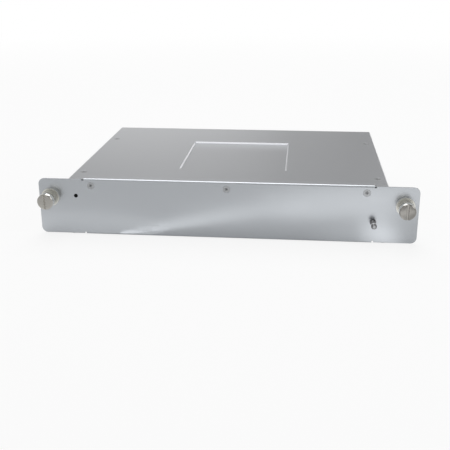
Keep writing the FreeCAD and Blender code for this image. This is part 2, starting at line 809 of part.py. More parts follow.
def fan(place, back):
    """Square frame with two flanges, a round barrel, and struts that carry the bearing; then its impeller."""
    frame = Piece(f"{place}_fan_frame", "fan_face", back, "fan_height")
    half = "fan_size / 2"
    for start in ("-fan_length", "-fan_flange"):
        flange = frame.side(start)
        rectangle(flange, f"-{half}", f"-{half}", half, half)
        frame.pad(flange, "fan_flange")
        if start == "-fan_length":
            barrel = frame.side(start)
            circle(barrel, "0", "0", "fan_barrel")
            frame.pad(barrel, "fan_length")
    frame.fillet("fan_corner", frame.edges("x", y=[f"-{half}", half], z=[f"-{half}", half]))
    bore = frame.side()
    circle(bore, "0", "0", "fan_bore")
    for across in ("-fan_hole_pitch", "fan_hole_pitch"):
        for up in ("-fan_hole_pitch", "fan_hole_pitch"):
            circle(bore, across, up, "fan_hole")
    frame.pocket(bore)
    strut = frame.side("-fan_strut_thick")
    rectangle(strut, "-fan_strut / 2", "0", "fan_strut / 2", "fan_bore / 2 + bend_inner")
    frame.polar(frame.pad(strut, "fan_strut_thick"), "4")
    hub = frame.side("-fan_strut_thick")
    circle(hub, "0", "0", "fan_hub")
    frame.pad(hub, "fan_strut_thick")
    tube = frame.side("-fan_strut_thick - bearing_length")
    circle(tube, "0", "0", "bearing_wide")
    frame.pad(tube, "bearing_length")
    shaft_hole = frame.side("-fan_strut_thick - bearing_length")
    circle(shaft_hole, "0", "0", "bearing_bore")
    frame.pocket(shaft_hole, "bearing_length", reverse=True)
    impeller(f"{place}_fan_impeller", back)


def impeller(label, back):
    """Cup-shaped hub with leaning blades and a shaft that runs in the frame's bearing."""
    rotor = Piece(label, "fan_face", back, "fan_height")
    mouth = "-fan_strut_thick - rotor_gap"
    cap = f"{mouth} - rotor_length"
    cup = rotor.side(cap)
    circle(cup, "0", "0", "rotor_wide")
    rotor.pad(cup, "rotor_length")
    middle = f"{mouth} - rotor_length / 2"
    blade = rotor.plan("blade_root")
    polygon(blade, [
        (f"{middle} - blade_reach", "-blade_lean"), (middle, "blade_bow"),
        (f"{middle} + blade_reach", "blade_lean"), (f"{middle} + blade_reach", "blade_lean + blade_thick"),
        (middle, "blade_bow + blade_thick"),
        (f"{middle} - blade_reach", "blade_thick - blade_lean"),
    ])
    rotor.polar(rotor.pad(blade, "blade_tip - blade_root"), "blades")
    hollow = rotor.side(mouth)
    circle(hollow, "0", "0", "rotor_inner")
    rotor.pocket(hollow, "rotor_length - rotor_cap")
    shaft = rotor.side(f"{cap} + rotor_cap")
    circle(shaft, "0", "0", "rotor_shaft")
    rotor.pad(shaft, "rotor_shaft_length")


def fan_bracket():
    """Bent plate that holds both fans against the right-hand wall."""
    bracket = Piece("fan_bracket")
    inner, face = "fan_face - fan_length", "fan_face - fan_length - sheet"
    plate = bracket.side(face)
    rectangle(plate, "bracket_front", "sheet", "bracket_rear", "bracket_top")
    bracket.pad(plate, "sheet")
    foot = bracket.side(face)
    rectangle(foot, "bracket_front", "sheet", "bracket_rear", "2 * sheet")
    bracket.pad(foot, "bracket_foot", reverse=True)
    holes = bracket.side(inner)
    screws = []
    for side in ("-", "+"):
        centre = f"fan_middle {side} fan_spacing / 2"
        circle(holes, centre, "fan_height", "bracket_hole")
        for corner in ("-", "+"):
            spot, height = f"{centre} {corner} fan_hole_pitch", f"fan_height {corner} fan_hole_pitch"
            circle(holes, spot, height, "fan_hole")
            name = f"fan_screw_{len(screws) + 1}"
            shank = rod(f"{name}_shank", "fan_screw_thread", "fan_screw_length", face, spot, height, ALONG_X)
            head = rod(f"{name}_head", "fan_screw_head", "fan_screw_head_thick",
                       f"{face} - fan_screw_head_thick", spot, height, ALONG_X)
            screws.append(fuse(name, [head, shank]))
    bracket.pocket(holes, "sheet")
    group("fan_screws", screws)


# Boards


def post_spots():
    """Places of the main board's six posts."""
    sides = ("board_left + post_inset", "post_middle", "board_right - post_inset")
    depths = ("board_front + post_inset", "board_rear - post_inset")
    return [(side, depth) for side in sides for depth in depths]


def main_board():
    board = Piece("main_board")
    plate = board.plan("board_low")
    rectangle(plate, "board_left", "board_front", "board_right", "board_rear")
    posts, screws = [], []
    for number, (side, depth) in enumerate(post_spots(), start=1):
        circle(plate, side, depth, "board_hole")
        post = rod(f"post_{number}_outside", "post_wide", "board_low - sheet", side, depth, "sheet")
        bore = rod(f"post_{number}_bore", "post_bore", "board_low - sheet", side, depth, "sheet")
        posts.append(cut(f"post_{number}", post, [bore]))
        name = f"board_screw_{number}"
        head = rod(f"{name}_head", "board_screw_head", "board_screw_head_thick", side, depth, "board_top")
        shank = rod(f"{name}_shank", "screw_thread", "screw_length", side, depth, "board_top", DOWNWARD)
        screws.append(fuse(name, [head, shank]))
    board.pad(plate, "board_top - board_low")
    group("standoffs", posts)
    group("board_screws", screws)


def insulation_sheet():
    """Thin sheet on the tray's floor under the main board, open round the posts."""
    film = Piece("insulation_sheet")
    plate = film.plan("sheet")
    rectangle(plate, "board_left", "board_front", "film_right", "board_rear")
    for side, depth in post_spots()[:4]:
        circle(plate, side, depth, "film_hole")
    film.pad(plate, "film_thick")


def control_board():
    board = block("control_board", "control_left", "control_right", "control_front",
                  "control_front + board_top - board_low", "board_top", "control_top")
    keep(board, "control_board")
    chips = []
    for number in range(3):
        left = f"chip_first + {number} * chip_pitch"
        chips.append(block(f"chip_{number + 1}", left, f"{left} + chip_wide", "control_front - chip_thick",
                           "control_front", "chip_low", "chip_high"))
    group("control_chips", chips)


def indicator():
    """Light pipe held behind the panel by a collar, with its lamp on a small upright board."""
    pipe = Piece("light_pipe", "indicator_side", "0", "indicator_height")
    profile = pipe.side()
    polygon(profile, [
        ("pipe_front", "0"), ("pipe_rear", "0"), ("pipe_rear", "pipe_wide / 2"),
        ("sheet + pipe_collar_thick", "pipe_wide / 2"), ("sheet + pipe_collar_thick", "pipe_collar / 2"),
        ("sheet", "pipe_collar / 2"), ("sheet", "pipe_wide / 2"), ("pipe_front", "pipe_wide / 2"),
    ])
    pipe.revolve(profile)
    lamp = rod("status_lamp", "indicator_hole", "indicator_board_front - lamp_front",
               "indicator_side", "lamp_front", "indicator_height", ALONG_BACK)
    keep(lamp, "status_lamp")
    board = block("indicator_board", "indicator_board_left", "indicator_board_right", "indicator_board_front",
                  "indicator_board_rear", "board_top", "control_top")
    keep(board, "indicator_board")


# Power parts


def wound_part(label, sizes):
    """A closed core with two windows, and a winding round its middle limb that stands on the lower yoke."""
    across, back = f"{sizes}_across", f"{sizes}_back"
    half, depth, height = f"{sizes}_width / 2", f"{sizes}_depth", f"{sizes}_height"
    core = Piece(f"{label}_core", across, back, "board_top")
    section = core.front()
    rectangle(section, f"-{half}", "0", half, height)
    rectangle(section, f"yoke - {half}", "yoke", "-limb / 2", f"{height} - yoke")
    rectangle(section, "limb / 2", "yoke", f"{half} - yoke", f"{height} - yoke")
    core.pad(section, depth, both=True)
    winding = Piece(f"{label}_winding", across, back, "board_top")
    coil = winding.plan("yoke")
    side, front = f"{half} - yoke - winding_gap", f"{depth} / 2 + winding_bulge"
    rectangle(coil, f"-({side})", f"-({front})", side, front)
    winding.pad(coil, f"{height} - 2 * yoke - winding_gap")
    winding.fillet("winding_round", winding.edges("z"))
    hole = winding.plan("yoke")
    inside = f"{depth} / 2 + winding_gap"
    rectangle(hole, "-limb / 2 - winding_gap", f"-({inside})", "limb / 2 + winding_gap", inside)
    winding.pocket(hole, reverse=True)


def heatsink(label, left, right):
    """Upright plate with level fins, so that air runs along it to the fans."""
    sink = Piece(label)
    top = "board_top + (sink_fins - 1) * sink_pitch + sink_fin"
    plate = sink.side(left)
    rectangle(plate, "sink_front", "board_top", "sink_front + sink_plate", top)
    sink.pad(plate, f"{right} - ({left})")
    fin = sink.side(left)
    rectangle(fin, "sink_front + sink_plate", "board_top", "sink_front + sink_reach", "board_top + sink_fin")
    sink.grid(sink.pad(fin, f"{right} - ({left})"), [("Z_Axis", "sink_pitch", "sink_fins")])


def package(name, across, width, legs):
    """Flat moulded device against a heatsink, with its legs down to the board."""
    rear, middle = "sink_front", "sink_front - package_thick / 2"
    solids = [block(f"{name}_body", f"{across} - {width} / 2", f"{across} + {width} / 2",
                    f"{rear} - package_thick", rear, "package_low", "package_high")]
    for leg in range(legs):
        place = f"{across} + ({leg} - {(legs - 1) / 2}) * leg_pitch"
        solids.append(block(f"{name}_leg_{leg + 1}", f"{place} - leg_wide / 2", f"{place} + leg_wide / 2",
                            f"{middle} - leg_thick / 2", f"{middle} + leg_thick / 2",
                            "board_top", "package_low"))
    return fuse(name, solids)


def power_devices():
    keep(package("rectifier_bridge", "bridge_across", "bridge_wide", 4), "rectifier_bridge")
    for label, first, count in (("power_transistors", "transistor_first", 2),
                                ("output_rectifiers", "output_rectifier_first", 3)):
        devices = []
        for number in range(count):
            place = f"{first} + {number} * package_pitch"
            devices.append(package(f"{label}_{number + 1}", place, "package_wide", 3))
        group(label, devices)


def can(name, across, back, wide, height):
    """Upright can capacitor whose sleeve ends short of the bare top."""
    sleeve = rod(f"{name}_sleeve", wide, f"{height} - can_edge", across, back, "board_top")
    top = rod(f"{name}_top", f"{wide} - 2 * can_edge", height, across, back, "board_top")
    return fuse(name, [sleeve, top])


def capacitors():
    bulk, outputs, boxes = [], [], []
    for number in range(3):
        place = f"bulk_first + {number} * bulk_pitch"
        bulk.append(can(f"bulk_capacitor_{number + 1}", "bulk_across", place, "bulk_wide", "bulk_height"))
    for column in range(2):
        for row in range(2):
            across = f"output_can_across + {column} * output_can_pitch"
            back = f"output_can_first + {row} * output_can_pitch"
            name = f"output_capacitor_{len(outputs) + 1}"
            outputs.append(can(name, across, back, "output_can_wide", "output_can_height"))
    corners = [("input_capacitor_across", "input_capacitor_back")]
    for number in range(3):
        corners.append((f"film_capacitor_across + {number} * film_capacitor_pitch", "film_capacitor_back"))
    for number, (left, front) in enumerate(corners, start=1):
        boxes.append(block(f"film_capacitor_{number}", left, f"{left} + film_capacitor_wide",
                           front, f"{front} + film_capacitor_thick",
                           "board_top", "board_top + film_capacitor_height"))
    group("bulk_capacitors", bulk)
    group("output_capacitors", outputs)
    group("film_capacitors", boxes)


def input_fuse():
    """Tube fuse that lies on the board between its end caps."""
    height = "board_top + fuse_cap / 2"
    tube = rod("fuse_tube", "fuse_wide", "fuse_length", "fuse_across", "fuse_front", height, ALONG_BACK)
    solids = [tube]
    for front in ("fuse_front", "fuse_front + fuse_length - fuse_cap_length"):
        name = f"fuse_cap_{len(solids)}"
        solids.append(rod(name, "fuse_cap", "fuse_cap_length", "fuse_across", front, height, ALONG_BACK))
    keep(fuse("input_fuse", solids), "input_fuse")


def relay():
    case = Piece("relay", "relay_left", "relay_front", "board_top")
    base = case.plan()
    rectangle(base, "0", "0", "relay_wide", "relay_long")
    case.pad(base, "relay_height")
    top = ["relay_height"]
    case.chamfer("relay_edge", case.edges("x", z=top) + case.edges("y", z=top) + case.edges("z"))


def busbars():
    bars = []
    for number in range(2):
        left = f"busbar_left + {number} * busbar_pitch"
        bars.append(block(f"busbar_{number + 1}", left, f"{left} + busbar_thick",
                          "busbar_front", "busbar_rear", "board_top", "board_top + busbar_height"))
    group("output_busbars", bars)


# Rear connector


def rear_connector():
    """Plug housing on the board's rear edge: tapered guides, blades and signal pins seated in it."""
    housing = Piece("rear_connector")
    top, middle = "board_top + plug_height", "board_top + plug_height / 2"
    shell = housing.front("plug_rear")
    rectangle(shell, "plug_left", "board_top", "plug_right", top)
    housing.pad(shell, "plug_rear - plug_front")
    rear_edges = housing.edges("x", y=["plug_rear"]) + housing.edges("z", y=["plug_rear"])
    housing.chamfer("plug_edge", rear_edges)
    guides = housing.front("plug_rear")
    for centre in ("plug_left + guide_inset", "plug_right - guide_inset"):
        rectangle(guides, f"{centre} - guide_wide / 2", f"{middle} - guide_wide / 2",
                  f"{centre} + guide_wide / 2", f"{middle} + guide_wide / 2")
    housing.pad(guides, "guide_reach", reverse=True, taper="-guide_taper")
    slots = housing.front("plug_rear")

    def contact(name, left, low, wide, high, rear):
        """A contact in a slot with a little play round it."""
        rectangle(slots, f"{left} - contact_play", f"{low} - contact_play",
                  f"{left} + {wide} + contact_play", f"{low} + {high} + contact_play")
        return block(name, left, f"{left} + {wide}", "plug_rear - contact_seat", rear, low, f"{low} + {high}")

    blades, pins = [], []
    for number in range(int(value("contacts"))):
        name, left = f"contact_{number + 1}", f"plug_left + contact_first + {number} * contact_pitch"
        low = f"{middle} - contact_height / 2"
        blades.append(contact(name, left, low, "contact_thick", "contact_height", "contact_rear"))
    for column in range(int(value("pin_columns"))):
        for row in range(int(value("pin_rows"))):
            left = f"plug_left + pin_first + {column} * pin_pitch"
            low = f"{middle} + ({row} - (pin_rows - 1) / 2) * pin_pitch - pin_size / 2"
            pins.append(contact(f"pin_{len(pins) + 1}", left, low, "pin_size", "pin_size", "pin_rear"))
    housing.pocket(slots, "contact_seat", reverse=True)
    group("connector_blades", blades)
    group("signal_pins", pins)


case_parts = (front_panel, base_tray, top_cover, case_fasteners, earth_stud)
for make in case_parts:
    make()
for place, across in (("left", "thumb_centre - thumb_side"), ("right", "thumb_centre + thumb_side")):
    ferrule(f"{place}_ferrule", across)
    thumbscrew(f"{place}_thumbscrew", across)
    spring(f"{place}_spring", across)
for place, sign in (("front", "-"), ("rear", "+")):
    fan(place, f"fan_middle {sign} fan_spacing / 2")
fan_bracket()
for make in (main_board, insulation_sheet, control_board, indicator):
    make()
wound_parts = {
    "boost_inductor": "boost",
    "transformer": "transformer",
    "resonant_inductor": "resonant",
    "output_inductor": "output",
    "input_choke": "choke",
}
for label, sizes in wound_parts.items():
    wound_part(label, sizes)
for place in ("primary", "secondary"):
    heatsink(f"{place}_heatsink", f"{place}_left", f"{place}_right")
for make in (power_devices, capacitors, input_fuse, relay, busbars, rear_connector):
    make()

doc.recompute()
for item in doc.Objects:
    if "Invalid" in item.State or "Error" in item.State:
        raise RuntimeError(f"{item.Label} failed: {item.State}")
for piece in pieces:
    if piece.Shape.isNull() or not piece.Shape.isValid():
        raise RuntimeError(f"{piece.Label} has no valid shape")
os.makedirs("parts", exist_ok=True)
for piece in pieces:
    piece.Shape.exportStep(f"parts/{piece.Label}.step")
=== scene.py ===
import math

import bmesh
import bpy
from mathutils import Matrix, Vector


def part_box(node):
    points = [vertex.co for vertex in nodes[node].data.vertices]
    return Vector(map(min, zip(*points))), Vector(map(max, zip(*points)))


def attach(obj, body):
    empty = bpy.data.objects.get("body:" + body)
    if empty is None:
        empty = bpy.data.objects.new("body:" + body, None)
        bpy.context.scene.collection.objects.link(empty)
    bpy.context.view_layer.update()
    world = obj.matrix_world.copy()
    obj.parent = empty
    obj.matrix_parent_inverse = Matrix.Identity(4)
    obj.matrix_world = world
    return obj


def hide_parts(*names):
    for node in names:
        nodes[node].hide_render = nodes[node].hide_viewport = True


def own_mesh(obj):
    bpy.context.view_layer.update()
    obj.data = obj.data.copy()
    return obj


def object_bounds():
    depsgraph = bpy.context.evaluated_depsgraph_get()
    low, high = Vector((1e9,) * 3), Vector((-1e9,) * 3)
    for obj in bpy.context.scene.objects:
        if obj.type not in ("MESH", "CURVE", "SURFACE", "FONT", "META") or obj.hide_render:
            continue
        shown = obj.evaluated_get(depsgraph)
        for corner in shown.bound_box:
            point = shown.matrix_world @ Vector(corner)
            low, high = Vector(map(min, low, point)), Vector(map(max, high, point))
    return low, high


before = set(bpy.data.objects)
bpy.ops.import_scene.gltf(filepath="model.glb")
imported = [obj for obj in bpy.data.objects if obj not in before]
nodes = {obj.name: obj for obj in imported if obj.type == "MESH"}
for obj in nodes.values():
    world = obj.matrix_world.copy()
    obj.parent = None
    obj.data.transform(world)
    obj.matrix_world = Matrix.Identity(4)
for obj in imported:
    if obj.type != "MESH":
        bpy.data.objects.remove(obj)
cad_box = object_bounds()

# The looks of a charger power module. Metres, in the model's own frame: X to the right, Y to the back, Z up.
MM = 0.001
SIDES = ("left", "right")
PANEL_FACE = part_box("front_panel")[0].y
OBJECT_MIDDLE = (cad_box[0] + cad_box[1]) / 2

# Threads and round shapes
M3_PITCH = 0.5 * MM
M4_PITCH = 0.7 * MM
THREAD_DEPTH = 0.6  # of the pitch
THREAD_ROWS = 10  # to a pitch
THREAD_FADE = 0.25  # of the length, at either end
THREAD_LEAD = 0.1 * MM
SMALL_STEP = 0.05 * MM
ROUND_STEPS = 72
SMALL_ROUND_STEPS = 48
SMOOTH_ANGLE = math.radians(32)

# Countersunk screws of the panel and the cover, with a cross recess
SCREW_HEAD = 2.7 * MM
SCREW_THREAD = 1.5 * MM
SCREW_LENGTH = 5.6 * MM
SCREW_EDGE = 0.15 * MM
SCREW_TIP = 0.4 * MM
SCREW_BARE_DEPTH = 0.12 * MM
CROSS_ARM = 1.45 * MM
CROSS_WIDTH = 0.3 * MM
CROSS_DEPTH = 0.8 * MM
CROSS_TAPER = Vector((0.45, 0.6))
PANEL_SCREW_TURNS = (0.35, 1.1, 0.05)  # radians
COVER_SCREW_TURNS = (0.2, 0.9, 0.6, 1.3)

# Earth stud, with a head pressed in behind the panel
STUD_RADIUS = 2.0 * MM
STUD_CHAMFER = 1.0 * MM
STUD_RELIEF = 1.7 * MM
STUD_RELIEF_LENGTH = 0.5 * MM
STUD_COLLAR = 2.2 * MM
STUD_HEAD = 3.0 * MM
STUD_HEAD_THICK = 1.0 * MM
# A stretch of the stud, counted from its tip, is painted bright as a highlight
STUD_HIGHLIGHT_START = 1.6 * MM
STUD_HIGHLIGHT_END = 4.4 * MM

# Captive screws. Their ends and starts count forwards from the panel's face
HEAD_RADIUS = 6.0 * MM
HEAD_LENGTH = 5.2 * MM
HEAD_EDGE = 0.8 * MM
HEAD_EDGE_DROP = 0.1 * MM
HEAD_EDGE_SET_BACK = 0.12 * MM
HEAD_ROUND = 0.25 * MM
BACK_EDGE = 0.4 * MM
NECK_RADIUS = 3.8 * MM
NECK_END = 4.2 * MM
SHANK_RADIUS = 1.5 * MM
THREAD_RADIUS = 2.0 * MM
THREAD_START = -1.7 * MM
TIP = -7.0 * MM
TIP_CHAMFER = 0.6 * MM
SLOT_HALF = 0.8 * MM
SLOT_DEPTH = 1.6 * MM
SLOT_CHAMFER = 0.12 * MM

# Their ferrules and springs
GROOVE_RADIUS = 5.0 * MM
FLANGE_FOOT = 5.8 * MM
FLANGE_FACE = 1.3 * MM
FERRULE_FLOOR = -0.8 * MM
SPRING_RADIUS = 2.9 * MM
SPRING_WIRE = 0.3 * MM
SPRING_TURNS = 3.0
SPRING_STEPS = 96
SPRING_SIDES = 10
SPRING_GAP = 0.05 * MM

# Recess drawn in the cover, at its floor, and how far forwards from its rear a painted highlight and a matt
# finish reach
RECESS_MIDDLE = 2.0 * MM
RECESS_HALF_WIDTH = 40.7 * MM
RECESS_REAR = 39.2 * MM
RECESS_MARGIN = 0.2 * MM
GLOW_AND_MATT_LENGTH = 40 * MM

# Colours of the metals
# This and the panel's front tone three lines below are shaded and lit copies of the panel's one metal,
# painted light
SHADED_REST_STEEL = (0.389, 0.398, 0.414)
COVER_STEEL = (0.377, 0.385, 0.400)
CASE_STEEL = (0.478, 0.490, 0.507)
LIT_FRONT_STEEL = (0.453, 0.473, 0.497)
ZINC = (0.36, 0.37, 0.38)
SCREW_FACE = (0.40, 0.41, 0.42)
COVER_SCREW = (0.29, 0.295, 0.30)
# Painted shade in the panel screws' cross recesses
CROSS_RECESS_SHADE = (0.17, 0.17, 0.175)
DARK_STEEL = (0.19, 0.19, 0.195)
HIGHLIGHT_STEEL = (0.44, 0.45, 0.46)
# Captive screws: faces painted darker as shade, as a lit copy on the left and a shaded copy on the right;
# slot walls painted light; sides painted bright as a highlight
PAINTED_FACE_SHADES = {"left": (0.400, 0.388, 0.362), "right": (0.290, 0.281, 0.264)}
PAINTED_SLOT_LIGHT = {"left": (0.80, 0.79, 0.75), "right": (0.345, 0.335, 0.312)}
SIDE_PAINTED_HIGHLIGHT = (0.93, 0.92, 0.88)
BRIGHT_NICKEL = (0.68, 0.675, 0.635)
# Painted shade in the ferrules' grooves and at the foot of their flanges
GROOVE_SHADE_NICKEL = (0.49, 0.485, 0.455)
ALUMINIUM = (0.58, 0.585, 0.59)
COPPER = (0.62, 0.27, 0.13)
GOLD = (0.72, 0.52, 0.2)
CAN_TOP = (0.62, 0.63, 0.64)
PAD_TIN = (0.62, 0.60, 0.55)

# Colours of the other pieces
FAN_BLACK = (0.022, 0.022, 0.024)
CHIP_BLACK = (0.02, 0.02, 0.021)
PLUG_BLACK = (0.028, 0.028, 0.03)
INSULATION = (0.55, 0.55, 0.5)
FILM_YELLOW = (0.42, 0.34, 0.10)
RELAY_BLUE = (0.03, 0.06, 0.18)
CERAMIC = (0.7, 0.68, 0.62)
UNLIT_LAMP = (0.004, 0.005, 0.0045)
LACQUER_ON_TRACK = (0.012, 0.10, 0.035)
LACQUER_BETWEEN = (0.006, 0.055, 0.02)
WIRE_GAP_SHADE = (0.16, 0.05, 0.015)
WIRE_TOP = (0.52, 0.20, 0.07)
FERRITE_DARK = (0.018, 0.018, 0.02)
FERRITE_LIGHT = (0.06, 0.06, 0.065)
SLEEVE_DARK = (0.012, 0.016, 0.05)
SLEEVE_LIGHT = (0.025, 0.03, 0.085)

# Finishes: roughness from 0 to 1, and sizes of what the surfaces show
SHEET_ROUGHNESS = 0.30
SATIN_ROUGHNESS = 0.26
SHEET_GRAIN = (18, 900, 900)
FIN_GRAIN = (40, 500, 500)
STREAK_SHARE = 0.6
SHEET_RELIEF = 0.002 * MM
COVER_RELIEF = 0.0006 * MM
SHEET_EDGE = 0.25 * MM
BRUSHED_DEPTH = 1.4 * MM
# How much lighter the painted highlight at the recess's rear is, and how much rougher the metal is there
PAINTED_GLOW_TONE = 1.3
REAR_MATT = 0.14
RING_PITCH = 0.18 * MM
CUT_PITCH = 0.22 * MM
RING_RELIEF = 0.0015 * MM
TURNED_EDGE = 0.12 * MM
FACE_MARGIN = 0.1 * MM
SLOT_WALL_MARGIN = 0.05 * MM
SLOT_FLOOR_MARGINS = (0.1 * MM, 0.2 * MM)  # before and behind the floor
WEAR_ROUGHNESS = (0.05, 0.08)  # how much smoother and how much rougher wear makes turned metal
MOTTLE_ROUGHNESS = (0.08, 0.1)
GRAIN_ROUGHNESS = 0.1
MOTTLE_RELIEF = 0.004 * MM
WIRE_PITCH = 0.9 * MM
WIRE_RELIEF = 0.25 * MM
TRACK_RELIEF = 0.03 * MM
SLEEVE_END = 0.9 * MM

# Floor and room, and the shares of their own white that the camera and metal see
WHITE = (1.0, 1.0, 1.0, 1.0)
FLOOR_SIZE = 12.0
FLOOR_COLOUR = (0.78, 0.78, 0.78, 1.0)
FLOOR_TO_CAMERA = 0.82
FLOOR_NEAR = 0.4
FLOOR_FAR = 1.5
FLOOR_TO_METAL = 0.2
SKY_LOW = (0.52, 0.52, 0.52, 1.0)
SKY_HIGH = (0.40, 0.40, 0.40, 1.0)
SKY_TURN = (0.35, 0.9)  # upward part of a direction, where low goes over to high
SKY_BEHIND = (0.5, 0.9)  # backward part of a direction, where metal stops seeing the white
SKY_TO_METAL = 0.6

# Lamps that lie on the floor
SHEEN_HEIGHT = 1.0 * MM

# Camera: it looks at a point on the panel's face, a little above its lower edge
CAMERA_PLACE = Vector((0.0535, PANEL_FACE - 0.5251, 0.2006))
CAMERA_AIM = Vector((0.0, PANEL_FACE, 0.0105))
CAMERA_ROLL = math.radians(0.21)
CAMERA_LENS = 60.45
CAMERA_SENSOR = 36.0

# Sockets for colours on a Mix node, which has others for numbers and vectors
MIX_FIRST = 6
MIX_SECOND = 7
MIX_RESULT = 2
BEVEL_SAMPLES = 6


# Materials


def shade(colour, factor=1.0):
    """A colour made darker or lighter, with the alpha that a socket needs."""
    return tuple(min(1.0, channel * factor) for channel in colour) + (1.0,)


class Graph:
    """A graph of shader nodes, in a material, in a lamp or in the world."""

    def __init__(self, owner):
        owner.use_nodes = True
        self.tree = owner.node_tree
        self.tree.nodes.clear()

    def add(self, kind, *sources, **settings):
        """A node with its settings, and its first inputs fed in order."""
        node = self.tree.nodes.new(kind)
        for name, setting in settings.items():
            setattr(node, name, setting)
        for socket, source in zip(node.inputs, sources):
            self.feed(socket, source)
        return node

    def feed(self, socket, source):
        """Links a socket to another node, or sets it to a plain number or colour."""
        if isinstance(source, bpy.types.NodeSocket):
            self.tree.links.new(source, socket)
        else:
            socket.default_value = source

    def out(self, kind, *sources, **settings):
        """The first output of a new node."""
        return self.add(kind, *sources, **settings).outputs[0]

    def calc(self, operation, first, second=0.0):
        """A sum with one or two numbers."""
        return self.out("ShaderNodeMath", first, second, operation=operation)

    def axes(self, vector):
        """The X, Y and Z of a vector."""
        return self.add("ShaderNodeSeparateXYZ", vector).outputs

    def span(self, source, low, high):
        """A 0 to 1 source turned into a number between two values."""
        return self.out("ShaderNodeMapRange", source, 0.0, 1.0, low, high)

    def ramp(self, source, start, end, low=0.0, high=1.0):
        """A number that goes smoothly from low to high while a source goes from start to end."""
        limits = (start, end, low, high)
        return self.out("ShaderNodeMapRange", source, *limits, interpolation_type="SMOOTHSTEP")

    def step(self, source, edge, soft):
        """0 below an edge and 1 above it, over a soft width."""
        return self.ramp(source, edge - soft / 2, edge + soft / 2)

    def mix(self, factor, first, second):
        """A colour between two colours."""
        node = self.add("ShaderNodeMix", factor, data_type="RGBA")
        self.feed(node.inputs[MIX_FIRST], first)
        self.feed(node.inputs[MIX_SECOND], second)
        return node.outputs[MIX_RESULT]


class Paint(Graph):
    """A material: a graph of nodes round one Principled shader."""

    def __init__(self, name, **sockets):
        self.material = bpy.data.materials.new(name)
        super().__init__(self.material)
        self.shader = self.add("ShaderNodeBsdfPrincipled")
        self.add("ShaderNodeOutputMaterial", self.shader.outputs["BSDF"])
        for socket, number in sockets.items():
            self.shader.inputs[socket.replace("_", " ")].default_value = number
        self.place = self.add("ShaderNodeTexCoord").outputs["Object"]

    def from_point(self, point):
        """Object coordinates counted from another point."""
        return self.out("ShaderNodeVectorMath", self.place, point, operation="SUBTRACT")

    def noise(self, scale, detail, stretch=(1, 1, 1)):
        """Smooth noise of a scale to the metre, made finer along an axis by a larger stretch."""
        place = self.out("ShaderNodeVectorMath", self.place, stretch, operation="MULTIPLY")
        node = self.add("ShaderNodeTexNoise", place)
        node.inputs["Scale"].default_value = scale
        node.inputs["Detail"].default_value = detail
        return node.outputs["Fac"]

    def cells(self, scale, **settings):
        """The distance in a field of cells, of a scale to the metre."""
        node = self.add("ShaderNodeTexVoronoi", self.place, **settings)
        node.inputs["Scale"].default_value = scale
        return node.outputs["Distance"]

    def waves(self, source, pitch):
        """Sine waves of a pitch along a source."""
        return self.calc("SINE", self.calc("MULTIPLY", source, 2 * math.pi / pitch))

    def painted_tones(self, pattern, colour, darker, lighter):
        """A colour that a pattern varies between a darker and a lighter tone of it."""
        return self.mix(pattern, shade(colour, darker), shade(colour, lighter))

    def surface(self, colour, roughness):
        """Feeds the shader its colour and roughness."""
        self.feed(self.shader.inputs["Base Color"], colour)
        self.feed(self.shader.inputs["Roughness"], roughness)

    def bump(self, height, depth, edge=0.0):
        """Bumps of a real depth, over edges that are rounded by a small radius where one is given."""
        node = self.add("ShaderNodeBump")
        node.inputs["Strength"].default_value = 1.0
        node.inputs["Distance"].default_value = depth
        self.feed(node.inputs["Height"], height)
        if edge:
            self.feed(node.inputs["Normal"], self.out("ShaderNodeBevel", edge, samples=BEVEL_SAMPLES))
        self.feed(self.shader.inputs["Normal"], node.outputs["Normal"])


class Sheet(Paint):
    """Rolled sheet: fine streaks along the sheet, soft clouding and rounded edges."""

    def __init__(self, name, grain=SHEET_GRAIN, relief=SHEET_RELIEF):
        super().__init__(name, Metallic=1.0)
        streak = self.noise(scale=1.0, detail=4.0, stretch=grain)
        cloud = self.noise(scale=14.0, detail=2.0)
        self.pattern = self.calc("ADD", self.calc("MULTIPLY", streak, STREAK_SHARE),
                                 self.calc("MULTIPLY", cloud, 1 - STREAK_SHARE))
        self.bump(streak, relief, SHEET_EDGE)

    def tone(self, colour, contrast):
        return self.painted_tones(self.pattern, colour, 1 - contrast, 1 + contrast)

    def polish(self, roughness, uneven):
        return self.span(self.pattern, roughness - uneven, roughness + uneven)


def plain_sheet(name, colour, roughness, grain=SHEET_GRAIN):
    """Sheet with one finish all over."""
    sheet = Sheet(name, grain)
    sheet.surface(sheet.tone(colour, contrast=0.05), sheet.polish(roughness, uneven=0.06))
    return sheet.material


def panel_sheet(name):
    """Sheet whose front is brushed finer than the rest, and painted lighter than the rest: lit and shaded
    copies of one metal.
    """
    sheet = Sheet(name)
    rest = sheet.step(sheet.axes(sheet.place)["Y"], PANEL_FACE + BRUSHED_DEPTH, soft=0.3 * MM)
    # The front and the rest get lit and shaded copies of one metal, painted light
    tone = sheet.mix(rest, sheet.tone(LIT_FRONT_STEEL, contrast=0.025), sheet.tone(SHADED_REST_STEEL, contrast=0.05))
    rougher = sheet.calc("MULTIPLY", rest, SHEET_ROUGHNESS - SATIN_ROUGHNESS)
    sheet.surface(tone, sheet.calc("ADD", sheet.polish(SATIN_ROUGHNESS, uneven=0.03), rougher))
    return sheet.material


